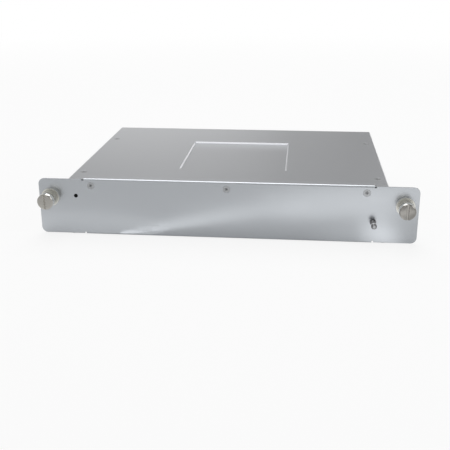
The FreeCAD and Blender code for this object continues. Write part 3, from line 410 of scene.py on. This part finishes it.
def cover_sheet(name):
    """Sheet with a drawn recess, painted lighter towards its rear as a painted highlight, and matt there."""
    sheet = Sheet(name, relief=COVER_RELIEF)
    across, back, _ = sheet.axes(sheet.from_point((RECESS_MIDDLE, RECESS_REAR, 0)))
    beside = sheet.step(sheet.calc("ABSOLUTE", across), RECESS_HALF_WIDTH, soft=0.5 * MM)
    behind = sheet.step(back, RECESS_MARGIN, soft=0.5 * MM)
    near = sheet.step(back, -GLOW_AND_MATT_LENGTH / 2, soft=GLOW_AND_MATT_LENGTH)
    outside = sheet.calc("MAXIMUM", beside, behind)
    inside = sheet.calc("SUBTRACT", sheet.calc("MULTIPLY", near, near), outside)
    painted_glow_and_matt = sheet.calc("MAXIMUM", inside, 0.0)
    # Towards the recess's rear the tone is painted lighter: a painted highlight
    tone = sheet.mix(painted_glow_and_matt, sheet.tone(COVER_STEEL, contrast=0.03), shade(COVER_STEEL, PAINTED_GLOW_TONE))
    rougher = sheet.calc("MULTIPLY", painted_glow_and_matt, REAR_MATT)
    sheet.surface(tone, sheet.calc("ADD", sheet.polish(SHEET_ROUGHNESS, uneven=0.02), rougher))
    return sheet.material


class Turned(Paint):
    """Turned metal with a little wear and fine rings about an axis along Y."""

    def __init__(self, name, centre):
        super().__init__(name, Metallic=1.0)
        self.across, self.depth, up = self.axes(self.from_point(centre))
        squares = [self.calc("MULTIPLY", part, part) for part in (self.across, up)]
        self.radius = self.calc("SQRT", self.calc("ADD", *squares))
        self.wear = self.noise(scale=900.0, detail=4.0)
        rings = self.calc("ADD", self.waves(self.radius, RING_PITCH), self.waves(self.depth, CUT_PITCH))
        self.bump(self.span(rings, low=0.3, high=0.7), RING_RELIEF, TURNED_EDGE)

    def tone(self, colour):
        return self.painted_tones(self.wear, colour, darker=0.9, lighter=1.08)

    def polish(self, roughness):
        smoother, rougher = WEAR_ROUGHNESS
        return self.span(self.wear, roughness - smoother, roughness + rougher)


def ferrule_nickel(name, centre):
    """Bright nickel, painted darker as shade in the ferrule's grooves and at the foot of its flange."""
    paint = Turned(name, centre)
    grooved = paint.calc("SUBTRACT", 1.0, paint.step(paint.radius, GROOVE_RADIUS, soft=0.1 * MM))
    inside = paint.calc("SUBTRACT", 1.0, paint.step(paint.radius, FLANGE_FOOT, soft=0.2 * MM))
    foot = paint.calc("MULTIPLY", inside, paint.step(paint.depth, PANEL_FACE - FLANGE_FACE, soft=0.1 * MM))
    painted_shade = paint.calc("MAXIMUM", grooved, foot)
    tone = paint.mix(painted_shade, paint.tone(BRIGHT_NICKEL), shade(GROOVE_SHADE_NICKEL))
    paint.surface(tone, paint.polish(roughness=0.3))
    return paint.material


def screw_nickel(name, centre, front, face_shade_tone, slot_light_tone):
    """Nickel of a captive screw: sides painted bright as a highlight, a face at its front in Y painted darker
    as shade, and a slot along Z with painted light on its walls.
    """
    paint = Turned(name, centre)
    sides = paint.step(paint.depth, front + HEAD_EDGE + FACE_MARGIN, soft=0.1 * MM)
    head = paint.mix(sides, paint.tone(face_shade_tone), paint.tone(SIDE_PAINTED_HIGHLIGHT))
    floor = front + SLOT_DEPTH
    before, after = SLOT_FLOOR_MARGINS
    deep = paint.step(paint.depth, floor - before, soft=0.05 * MM)
    slot = paint.mix(deep, shade(slot_light_tone), shade(face_shade_tone))
    beside = paint.step(paint.calc("ABSOLUTE", paint.across), SLOT_HALF + SLOT_WALL_MARGIN, soft=0.04 * MM)
    behind = paint.step(paint.depth, floor + after, soft=0.05 * MM)
    tone = paint.mix(paint.calc("MAXIMUM", beside, behind), slot, head)
    paint.surface(tone, paint.polish(roughness=0.2))
    return paint.material


class Mottled(Paint):
    """Small plated or bare metal pieces with a little mottling."""

    def __init__(self, name):
        super().__init__(name, Metallic=1.0)
        self.mottle = self.noise(scale=1200.0, detail=5.0)
        self.bump(self.mottle, MOTTLE_RELIEF)

    def tone(self, colour):
        return self.painted_tones(self.mottle, colour, darker=0.86, lighter=1.1)

    def polish(self, roughness):
        smoother, rougher = MOTTLE_ROUGHNESS
        return self.span(self.mottle, roughness - smoother, roughness + rougher)


def plated(name, colour, roughness):
    """Metal with one finish all over."""
    paint = Mottled(name)
    paint.surface(paint.tone(colour), paint.polish(roughness))
    return paint.material


def dark_steel_and_painted_shade(name, colour, bare_colour, bare_end, roughness, highlight=None):
    """Metal that is bare in front of an end in Y and dark behind it: dark steel on the stud, and painted
    shade in the panel screws' cross recesses.

    A stretch, as (colour, start and end in Y), is painted bright as a highlight.
    """
    paint = Mottled(name)
    depth = paint.axes(paint.place)["Y"]
    skin = paint.tone(colour)
    if highlight:
        highlight_colour, start, end = highlight
        edges = [paint.step(depth, edge, soft=0.6 * MM) for edge in (start, end)]
        skin = paint.mix(paint.calc("SUBTRACT", *edges), skin, shade(highlight_colour))
    dark = paint.step(depth, bare_end, soft=0.05 * MM)
    paint.surface(paint.mix(dark, shade(bare_colour), skin), paint.polish(roughness))
    return paint.material


def moulded(name, colour, roughness, shine=0.5):
    """Moulded plastic with a fine spark-eroded grain."""
    paint = Paint(name, Specular_IOR_Level=shine)
    speck = paint.noise(scale=2600.0, detail=2.0)
    cloud = paint.noise(scale=60.0, detail=3.0)
    tone = paint.painted_tones(cloud, colour, darker=0.8, lighter=1.25)
    paint.surface(tone, paint.span(speck, roughness - GRAIN_ROUGHNESS, roughness + GRAIN_ROUGHNESS))
    paint.bump(speck, depth=0.01 * MM, edge=0.15 * MM)
    return paint.material


def circuit_board(name):
    """Green lacquer over tracks, with bare pads."""
    paint = Paint(name, Coat_Weight=0.4, Coat_Roughness=0.25)
    tracks = paint.cells(scale=140.0, feature="DISTANCE_TO_EDGE", distance="CHEBYCHEV")
    line = paint.step(tracks, edge=0.12, soft=0.05)
    around_pad = paint.step(paint.cells(scale=170.0), edge=0.16, soft=0.03)
    lacquer = paint.mix(line, shade(LACQUER_ON_TRACK), shade(LACQUER_BETWEEN))
    paint.surface(paint.mix(around_pad, shade(PAD_TIN), lacquer), paint.span(line, low=0.32, high=0.45))
    paint.bump(line, TRACK_RELIEF)
    return paint.material


def wound_wire(name):
    """Varnished copper wire in level turns, painted darker between the turns as shade."""
    paint = Paint(name, Metallic=0.9, Coat_Weight=0.5, Coat_Roughness=0.2)
    turns = paint.span(paint.waves(paint.axes(paint.place)["Z"], WIRE_PITCH), low=0.0, high=1.0)
    tone = paint.mix(turns, shade(WIRE_GAP_SHADE), shade(WIRE_TOP))
    paint.surface(tone, paint.span(paint.noise(scale=700.0, detail=3.0), low=0.25, high=0.45))
    paint.bump(turns, WIRE_RELIEF)
    return paint.material


def ferrite(name):
    """Pressed and fired black core with a fine grit."""
    paint = Paint(name)
    grit = paint.noise(scale=3200.0, detail=6.0)
    tone = paint.mix(grit, shade(FERRITE_DARK), shade(FERRITE_LIGHT))
    paint.surface(tone, paint.span(grit, low=0.5, high=0.75))
    paint.bump(grit, depth=0.02 * MM, edge=0.3 * MM)
    return paint.material


def can_sleeve(name, end):
    """Shrunk sleeve round a can, with the bare top showing above its end in Z."""
    paint = Paint(name)
    bare = paint.step(paint.axes(paint.place)["Z"], end, soft=0.2 * MM)
    cloud = paint.noise(scale=90.0, detail=3.0)
    sleeve = paint.mix(cloud, shade(SLEEVE_DARK), shade(SLEEVE_LIGHT))
    paint.surface(paint.mix(bare, sleeve, shade(CAN_TOP)), paint.span(cloud, low=0.22, high=0.38))
    paint.feed(paint.shader.inputs["Metallic"], bare)
    paint.bump(paint.noise(scale=1500.0, detail=3.0), depth=0.01 * MM, edge=0.3 * MM)
    return paint.material


def dress(material, *names):
    """Gives CAD nodes a material of the scene's own."""
    for name in names:
        data = nodes[name].data
        data.materials.clear()
        data.materials.append(material)


stud_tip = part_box("earth_stud")[0].y
# The stud's middle stretch is painted bright as a highlight
stud_highlight = (HIGHLIGHT_STEEL, stud_tip + STUD_HIGHLIGHT_START, stud_tip + STUD_HIGHLIGHT_END)
stud_metal = dark_steel_and_painted_shade("stud_steel", DARK_STEEL, ZINC, stud_tip + SMALL_STEP, roughness=0.34, highlight=stud_highlight)
screw_bare_end = PANEL_FACE + SCREW_BARE_DEPTH
# Behind their bare faces the panel screws, cross recesses included, are painted dark as shade
panel_screw_metal = dark_steel_and_painted_shade("panel_screw", CROSS_RECESS_SHADE, SCREW_FACE, screw_bare_end, roughness=0.4)
cover_screw_metal = plated("cover_screw", COVER_SCREW, roughness=0.36)
zinc_metal = plated("zinc", ZINC, roughness=0.36)

dress(plain_sheet("case_sheet", CASE_STEEL, SHEET_ROUGHNESS), "base_tray")
dress(cover_sheet("cover_sheet"), "top_cover")
dress(panel_sheet("panel_sheet"), "front_panel")
dress(zinc_metal, "clinch_nuts", "standoffs", "board_screws", "fan_screws", "fan_bracket")
for side in SIDES:
    low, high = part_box(f"{side}_ferrule")
    middle = (low + high) / 2
    dress(ferrule_nickel(f"nickel_{side}", (middle.x, 0, middle.z)), f"{side}_ferrule")
dress(moulded("fan_plastic", FAN_BLACK, roughness=0.5),
      "front_fan_frame", "rear_fan_frame", "front_fan_impeller", "rear_fan_impeller")
dress(circuit_board("board"), "main_board", "control_board", "indicator_board")
dress(moulded("insulation", INSULATION, roughness=0.4), "insulation_sheet")
dress(moulded("moulded_black", CHIP_BLACK, roughness=0.55),
      "control_chips", "power_transistors", "output_rectifiers", "rectifier_bridge")
dress(ferrite("ferrite"), *[name for name in nodes if name.endswith("_core")])
dress(wound_wire("winding"), *[name for name in nodes if name.endswith("_winding")])
dress(plated("copper", COPPER, roughness=0.28), "output_busbars")
fin_metal = plain_sheet("heatsink", ALUMINIUM, roughness=0.38, grain=FIN_GRAIN)
dress(fin_metal, "primary_heatsink", "secondary_heatsink")
for name in ("bulk_capacitors", "output_capacitors"):
    dress(can_sleeve(f"{name}_sleeve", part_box(name)[1].z - SLEEVE_END), name)
dress(moulded("film_box", FILM_YELLOW, roughness=0.35), "film_capacitors")
dress(moulded("relay_case", RELAY_BLUE, roughness=0.35), "relay")
dress(moulded("ceramic", CERAMIC, roughness=0.3), "input_fuse")
dress(moulded("clear", UNLIT_LAMP, roughness=0.4, shine=0.1), "light_pipe", "status_lamp")
dress(moulded("plug", PLUG_BLACK, roughness=0.48), "rear_connector")
dress(plated("contact", GOLD, roughness=0.24), "connector_blades", "signal_pins")


# Pieces


def smooth(mesh):
    """Smooth faces, but for sharp edges."""
    for face in mesh.faces:
        face.smooth = True
    for edge in mesh.edges:
        edge.smooth = len(edge.link_faces) == 2 and edge.calc_face_angle() < SMOOTH_ANGLE


def solid(name, mesh, material):
    """A piece from a bmesh."""
    bmesh.ops.recalc_face_normals(mesh, faces=mesh.faces)
    smooth(mesh)
    data = bpy.data.meshes.new(name)
    mesh.to_mesh(data)
    mesh.free()
    data.materials.append(material)
    piece = bpy.data.objects.new(name, data)
    bpy.context.scene.collection.objects.link(piece)
    return piece


def lathe(rows, steps=ROUND_STEPS):
    """A surface of revolution about Z. A row is (radius, height); a radius may depend on the angle."""
    mesh = bmesh.new()
    angles = [2 * math.pi * step / steps for step in range(steps)]
    rings = []
    for radius, height in rows:
        if radius == 0:
            rings.append([mesh.verts.new((0, 0, height))])
            continue
        ring = []
        for angle in angles:
            reach = radius(angle) if callable(radius) else radius
            ring.append(mesh.verts.new((reach * math.cos(angle), reach * math.sin(angle), height)))
        rings.append(ring)
    for low, high in zip(rings, rings[1:]):
        for step in range(steps):
            after = (step + 1) % steps
            corners = [low[step % len(low)], low[after % len(low)]]
            corners += [high[after % len(high)], high[step % len(high)]]
            mesh.faces.new(list(dict.fromkeys(corners)))
    return mesh


def thread(radius, pitch, start, end):
    """Rows of a lathe that wind a V thread round a shank, fading in at both ends."""
    count = int(abs(end - start) / pitch * THREAD_ROWS)
    rows = []
    for step in range(count + 1):
        height = start + (end - start) * step / count
        fade = min(1.0, step / count / THREAD_FADE, (count - step) / count / THREAD_FADE)

        def reach(angle, height=height, fade=fade):
            wave = abs(((height / pitch - angle / (2 * math.pi)) % 1.0) * 2 - 1)
            return radius - THREAD_DEPTH * pitch * fade * (1 - wave)

        rows.append((reach, height))
    return rows


def prism(first, second):
    """A closed bmesh between two outlines with as many points each."""
    mesh = bmesh.new()
    ends = [[mesh.verts.new(point) for point in outline] for outline in (first, second)]
    for end in ends:
        mesh.faces.new(end)
    for step in range(len(first)):
        after = (step + 1) % len(first)
        mesh.faces.new((ends[0][step], ends[0][after], ends[1][after], ends[1][step]))
    return mesh


def carve(piece, cutter_mesh):
    """Cuts a closed bmesh out of a piece."""
    tool = solid("cutter", cutter_mesh, piece.data.materials[0])
    modifier = piece.modifiers.new("carve", "BOOLEAN")
    modifier.operation = "DIFFERENCE"
    modifier.solver = "EXACT"
    modifier.object = tool
    graph = bpy.context.evaluated_depsgraph_get()
    result = bpy.data.meshes.new_from_object(piece.evaluated_get(graph))
    piece.modifiers.clear()
    piece.data = result
    bpy.data.objects.remove(tool)
    mesh = bmesh.new()
    mesh.from_mesh(result)
    smooth(mesh)
    mesh.to_mesh(result)
    mesh.free()


def put(piece, places, body, replaced):
    """Copies of a piece at several places, joined as one that stands for a CAD node and rides on a body."""
    mesh = bmesh.new()
    for place in places:
        copy = piece.data.copy()
        copy.transform(place)
        mesh.from_mesh(copy)
        bpy.data.meshes.remove(copy)
    mesh.to_mesh(piece.data)
    mesh.free()
    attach(piece, body)
    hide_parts(replaced)


# Turns a piece's own axis, Z, to the front
FACING_FRONT = Matrix.Rotation(math.radians(90), 4, "X")


def spin(angle):
    """A turn about a piece's own axis."""
    return Matrix.Rotation(angle, 4, "Z")


def cross_bit():
    """A tapered cross that points down from Z 0, for a cross recess."""
    outline = [(CROSS_ARM, -CROSS_WIDTH), (CROSS_ARM, CROSS_WIDTH), (CROSS_WIDTH, CROSS_WIDTH)]
    corners = []
    for quarter in range(4):
        turn = Matrix.Rotation(quarter * math.pi / 2, 2)
        corners += [turn @ Vector(point) for point in outline]
    top = [(corner.x, corner.y, SCREW_EDGE) for corner in corners]
    low = [(corner.x * CROSS_TAPER.x, corner.y * CROSS_TAPER.y, -CROSS_DEPTH) for corner in corners]
    return prism(top, low)


def countersunk_screw(name, material):
    """Countersunk cross-recess screw whose head lies at Z 0 and whose thread points down."""
    cone_end = SCREW_THREAD - SCREW_HEAD
    rows = [(0, 0), (SCREW_HEAD - SCREW_EDGE, 0), (SCREW_HEAD, -SCREW_EDGE)]
    rows += [(SCREW_THREAD, cone_end - SCREW_EDGE)]
    rows += thread(SCREW_THREAD, M3_PITCH, cone_end - 2 * SCREW_EDGE, -SCREW_LENGTH + SCREW_TIP)
    rows += [(SCREW_THREAD - SCREW_TIP, -SCREW_LENGTH), (0, -SCREW_LENGTH)]
    piece = solid(name, lathe(rows, SMALL_ROUND_STEPS), material)
    carve(piece, cross_bit())
    return piece


def panel_screws():
    """Three screws in a row on the panel."""
    low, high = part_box("panel_screws")
    middle = (low + high) / 2
    columns = (low.x + SCREW_HEAD, middle.x, high.x - SCREW_HEAD)
    places = [Matrix.Translation((across, low.y, middle.z)) @ FACING_FRONT @ spin(angle)
              for across, angle in zip(columns, PANEL_SCREW_TURNS)]
    put(countersunk_screw("panel_screw_set", panel_screw_metal), places, "module", "panel_screws")


def cover_screws():
    """Four screws near the corners of the cover."""
    low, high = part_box("cover_screws")
    columns = (low.x + SCREW_HEAD, high.x - SCREW_HEAD)
    rows = (low.y + SCREW_HEAD, high.y - SCREW_HEAD)
    spots = [(across, back, high.z) for across in columns for back in rows]
    places = [Matrix.Translation(spot) @ spin(angle) for spot, angle in zip(spots, COVER_SCREW_TURNS)]
    put(countersunk_screw("cover_screw_set", cover_screw_metal), places, "module", "cover_screws")


def threaded_stud():
    """The earth stud, made along Z with the panel's face at Z 0."""
    low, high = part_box("earth_stud")
    reach = PANEL_FACE - low.y
    rear = PANEL_FACE - high.y
    head_front = rear + STUD_HEAD_THICK
    thread_end = reach - STUD_CHAMFER
    rows = [(0, reach), (STUD_RADIUS - STUD_CHAMFER, reach), (STUD_RADIUS - SMALL_STEP, thread_end)]
    rows += thread(STUD_RADIUS, M4_PITCH, thread_end - THREAD_LEAD, STUD_RELIEF_LENGTH + SMALL_STEP)
    rows += [(STUD_RELIEF, STUD_RELIEF_LENGTH), (STUD_RELIEF, 0), (STUD_COLLAR, 0)]
    rows += [(STUD_COLLAR, head_front), (STUD_HEAD, head_front), (STUD_HEAD, rear), (0, rear)]
    place = Matrix.Translation(((low.x + high.x) / 2, PANEL_FACE, (low.z + high.z) / 2)) @ FACING_FRONT
    put(solid("threaded_stud", lathe(rows), stud_metal), [place], "module", "earth_stud")


def slot_cutter(face):
    """A long bar whose section is the slot with its chamfered edges."""
    half = [(SLOT_HALF, face - SLOT_DEPTH), (SLOT_HALF, face - SLOT_CHAMFER),
            (SLOT_HALF + 2 * SLOT_CHAMFER, face + SLOT_CHAMFER)]
    section = half + [(-across, height) for across, height in reversed(half)]
    reach = 2 * HEAD_RADIUS
    return prism(*[[(across, end, height) for across, height in section] for end in (-reach, reach)])


def thumbscrew(name, reach, material):
    """Slotted captive screw along Z, with the panel's face at Z 0 and the head in front at positive Z."""
    back = reach - HEAD_LENGTH
    rows = [(0, reach), (HEAD_RADIUS - HEAD_EDGE - HEAD_ROUND, reach),
            (HEAD_RADIUS - HEAD_EDGE, reach - HEAD_EDGE_DROP),
            (HEAD_RADIUS - HEAD_EDGE_SET_BACK, reach - HEAD_EDGE),
            (HEAD_RADIUS, reach - HEAD_EDGE - HEAD_ROUND), (HEAD_RADIUS, back + BACK_EDGE),
            (HEAD_RADIUS - BACK_EDGE, back), (NECK_RADIUS, back), (NECK_RADIUS, NECK_END),
            (SHANK_RADIUS, NECK_END), (SHANK_RADIUS, THREAD_START),
            (THREAD_RADIUS - THREAD_LEAD, THREAD_START)]
    rows += thread(THREAD_RADIUS, M4_PITCH, THREAD_START - THREAD_LEAD, TIP + TIP_CHAMFER)
    rows += [(THREAD_RADIUS - TIP_CHAMFER, TIP), (0, TIP)]
    piece = solid(name, lathe(rows), material)
    carve(piece, slot_cutter(reach))
    return piece


def coil(name, start, end):
    """A round-wire compression spring along Z."""
    mesh = bmesh.new()
    rings = []
    for step in range(SPRING_STEPS + 1):
        part = step / SPRING_STEPS
        angle = 2 * math.pi * SPRING_TURNS * part
        height = start + SPRING_WIRE + (end - start - 2 * SPRING_WIRE) * part
        ring = []
        for side in range(SPRING_SIDES):
            turn = 2 * math.pi * side / SPRING_SIDES
            radius = SPRING_RADIUS + SPRING_WIRE * math.cos(turn)
            rise = SPRING_WIRE * math.sin(turn)
            ring.append(mesh.verts.new((radius * math.cos(angle), radius * math.sin(angle), height + rise)))
        rings.append(ring)
    for before, after in zip(rings, rings[1:]):
        for side in range(SPRING_SIDES):
            other = (side + 1) % SPRING_SIDES
            mesh.faces.new((before[side], before[other], after[other], after[side]))
    mesh.faces.new(rings[0])
    mesh.faces.new(rings[-1])
    return solid(name, mesh, zinc_metal)


def captive_screw(side):
    """A captive screw and its spring, from the ferrule's floor to the screw's neck. The spring rides on the
    module and doesn't shorten when the screw is pressed.
    """
    low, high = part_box(f"{side}_thumbscrew")
    across = (low.x + high.x) / 2
    up = (low.z + high.z) / 2
    place = Matrix.Translation((across, PANEL_FACE, up)) @ FACING_FRONT
    # The face shade and slot light are painted, and differ from left to right
    painted_tones = (PAINTED_FACE_SHADES[side], PAINTED_SLOT_LIGHT[side])
    nickel = screw_nickel(f"nickel_{side}_screw", (across, 0, up), low.y, *painted_tones)
    screw = thumbscrew(f"{side}_captive_screw", PANEL_FACE - low.y, nickel)
    put(screw, [place], f"{side}_screw", f"{side}_thumbscrew")
    spring = coil(f"{side}_coil", FERRULE_FLOOR + SPRING_GAP, NECK_END - SPRING_GAP)
    put(spring, [place], "module", f"{side}_spring")
    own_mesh(spring)


panel_screws()
cover_screws()
threaded_stud()
for side in SIDES:
    captive_screw(side)


# Floor, light and camera


def shown_share(graph, to_camera, to_metal):
    """How much of a surface's own white shows, to the camera and in metal or glass."""
    path = graph.add("ShaderNodeLightPath").outputs
    mirrored = graph.calc("MAXIMUM", path["Is Glossy Ray"], path["Is Transmission Ray"])
    direct = graph.calc("MULTIPLY", path["Is Camera Ray"], to_camera)
    reflected = graph.calc("MULTIPLY", mirrored, to_metal)
    return graph.calc("MAXIMUM", direct, reflected)


def floor_paint():
    """A matt pale floor that shows whiter to the camera with the distance from the object."""
    material = bpy.data.materials.new("floor")
    graph = Graph(material)
    place = graph.add("ShaderNodeTexCoord").outputs["Object"]
    distance = graph.add("ShaderNodeVectorMath", place, operation="LENGTH").outputs["Value"]
    to_camera = graph.ramp(distance, FLOOR_NEAR, FLOOR_FAR, FLOOR_TO_CAMERA, 1.0)
    matt = graph.out("ShaderNodeBsdfDiffuse", FLOOR_COLOUR)
    white = graph.out("ShaderNodeEmission", WHITE)
    share = shown_share(graph, to_camera, FLOOR_TO_METAL)
    graph.add("ShaderNodeOutputMaterial", graph.out("ShaderNodeMixShader", share, matt, white))
    return material


def add_floor():
    """A wide flat floor."""
    mesh = bmesh.new()
    bmesh.ops.create_grid(mesh, x_segments=1, y_segments=1, size=FLOOR_SIZE / 2)
    solid("floor", mesh, floor_paint())


def add_room():
    """A room, white round about and darker overhead. Metal sees less of the white behind the object."""
    world = bpy.data.worlds.new("studio")
    bpy.context.scene.world = world
    graph = Graph(world)
    _, back, up = graph.axes(graph.add("ShaderNodeTexCoord").outputs["Generated"])
    high = graph.ramp(up, *SKY_TURN)
    light = graph.out("ShaderNodeBackground", graph.mix(high, SKY_LOW, SKY_HIGH))
    white = graph.out("ShaderNodeBackground", WHITE)
    to_metal = graph.ramp(back, *SKY_BEHIND, SKY_TO_METAL, 0.0)
    share = graph.calc("MULTIPLY", shown_share(graph, 1.0, to_metal), graph.calc("SUBTRACT", 1.0, high))
    graph.add("ShaderNodeOutputWorld", graph.out("ShaderNodeMixShader", share, light, white))


def lamp(name, shape, width, height, brightness):
    """A flat soft lamp of an even brightness, where 1 is white, that the camera itself doesn't see."""
    data = bpy.data.lights.new(name, "AREA")
    data.shape = shape
    data.size = width
    data.size_y = height
    area = width * height * (math.pi / 4 if shape == "ELLIPSE" else 1)
    data.energy = brightness * math.pi * area
    made = bpy.data.objects.new(name, data)
    made.visible_camera = False
    bpy.context.scene.collection.objects.link(made)
    return made


def aim(place, target):
    """The turn that points a lamp or a camera from a place to a target."""
    return (Vector(target) - Vector(place)).to_track_quat("-Z", "Y")


def softbox(name, place, width, height, brightness, shape="RECTANGLE"):
    """A lamp turned to the middle of the object."""
    made = lamp(name, shape, width, height, brightness)
    made.location = place
    made.rotation_euler = aim(place, OBJECT_MIDDLE).to_euler()


def soften(data):
    """Fades a lamp smoothly from its middle to its edge."""
    graph = Graph(data)
    along, across, _ = graph.axes(graph.add("ShaderNodeNewGeometry").outputs["Parametric"])
    # These two go from 0 to 1 over the lamp, so its middle is at a half and its edge a half away
    offsets = [graph.calc("SUBTRACT", part, 0.5) for part in (along, across)]
    squares = [graph.calc("MULTIPLY", offset, offset) for offset in offsets]
    outward = graph.calc("MULTIPLY", graph.calc("ADD", *squares), 4.0)
    inward = graph.calc("SUBTRACT", 1.0, outward)
    glow = graph.out("ShaderNodeEmission", WHITE, graph.calc("MULTIPLY", inward, inward))
    graph.add("ShaderNodeOutputLight", glow)


def sheen(name, start, end, width, brightness, height=SHEEN_HEIGHT, soft=False):
    """A lamp that lies on the floor and shines up. Its ends are in X, and in Y from the panel's face."""
    start = Vector((*start, height))
    end = Vector((*end, height))
    along = end - start
    made = lamp(name, "ELLIPSE", along.length, width, brightness)
    made.location = (start + end) / 2 + Vector((0, PANEL_FACE, 0))
    made.rotation_euler = (math.pi, 0, math.atan2(along.y, along.x))
    if soft:
        soften(made.data)


def add_camera():
    """The camera, at the photograph's viewing angle."""
    data = bpy.data.cameras.new("camera")
    data.lens = CAMERA_LENS
    data.sensor_width = CAMERA_SENSOR
    camera = bpy.data.objects.new("camera", data)
    look = aim(CAMERA_PLACE, CAMERA_AIM).to_matrix().to_4x4()
    camera.matrix_world = Matrix.Translation(CAMERA_PLACE) @ look @ spin(-CAMERA_ROLL)
    bpy.context.scene.collection.objects.link(camera)
    bpy.context.scene.camera = camera


add_floor()
add_room()
softbox("overhead", place=(-0.12, -0.08, 1.3), width=0.9, height=1.25, brightness=2.0)
softbox("high_rear", place=(-0.1, 0.85, 1.35), width=1.3, height=0.9, brightness=2.1)
softbox("low_rear", place=(-0.46, 1.95, 0.25), width=0.9, height=0.46, brightness=0.62, shape="ELLIPSE")
softbox("low_rear_wide", place=(-0.46, 2.05, 0.25), width=1.5, height=0.46, brightness=0.46, shape="ELLIPSE")
softbox("low_rear_right", place=(1.1, 4.0, 0.67), width=0.62, height=0.62, brightness=2.6)
softbox("right", place=(1.2, -0.35, 0.7), width=0.6, height=0.6, brightness=2.0)

# The panel mirrors these five as a soft slanting band and paler stretches at its left and right
sheen("sheen_1", start=(-0.080, -0.001), end=(0.150, -0.140), width=0.026, brightness=0.58)
sheen("sheen_2", start=(0.020, -0.060), end=(0.220, -0.155), width=0.080, brightness=0.50)
sheen("sheen_3", start=(-0.230, -0.015), end=(-0.045, -0.015), width=0.066, brightness=0.24)
# Of two lamps in one plane only one shows where they overlap, so these two lie lower
sheen("sheen_4", start=(0.1155, 0.040), end=(0.1175, -0.085), width=0.045, brightness=0.60,
      height=0.8 * MM, soft=True)
sheen("sheen_5", start=(0.050, -0.010), end=(0.170, -0.010), width=0.080, brightness=0.20,
      height=0.6 * MM, soft=True)

add_camera()
bpy.context.scene.view_settings.view_transform = "Standard"
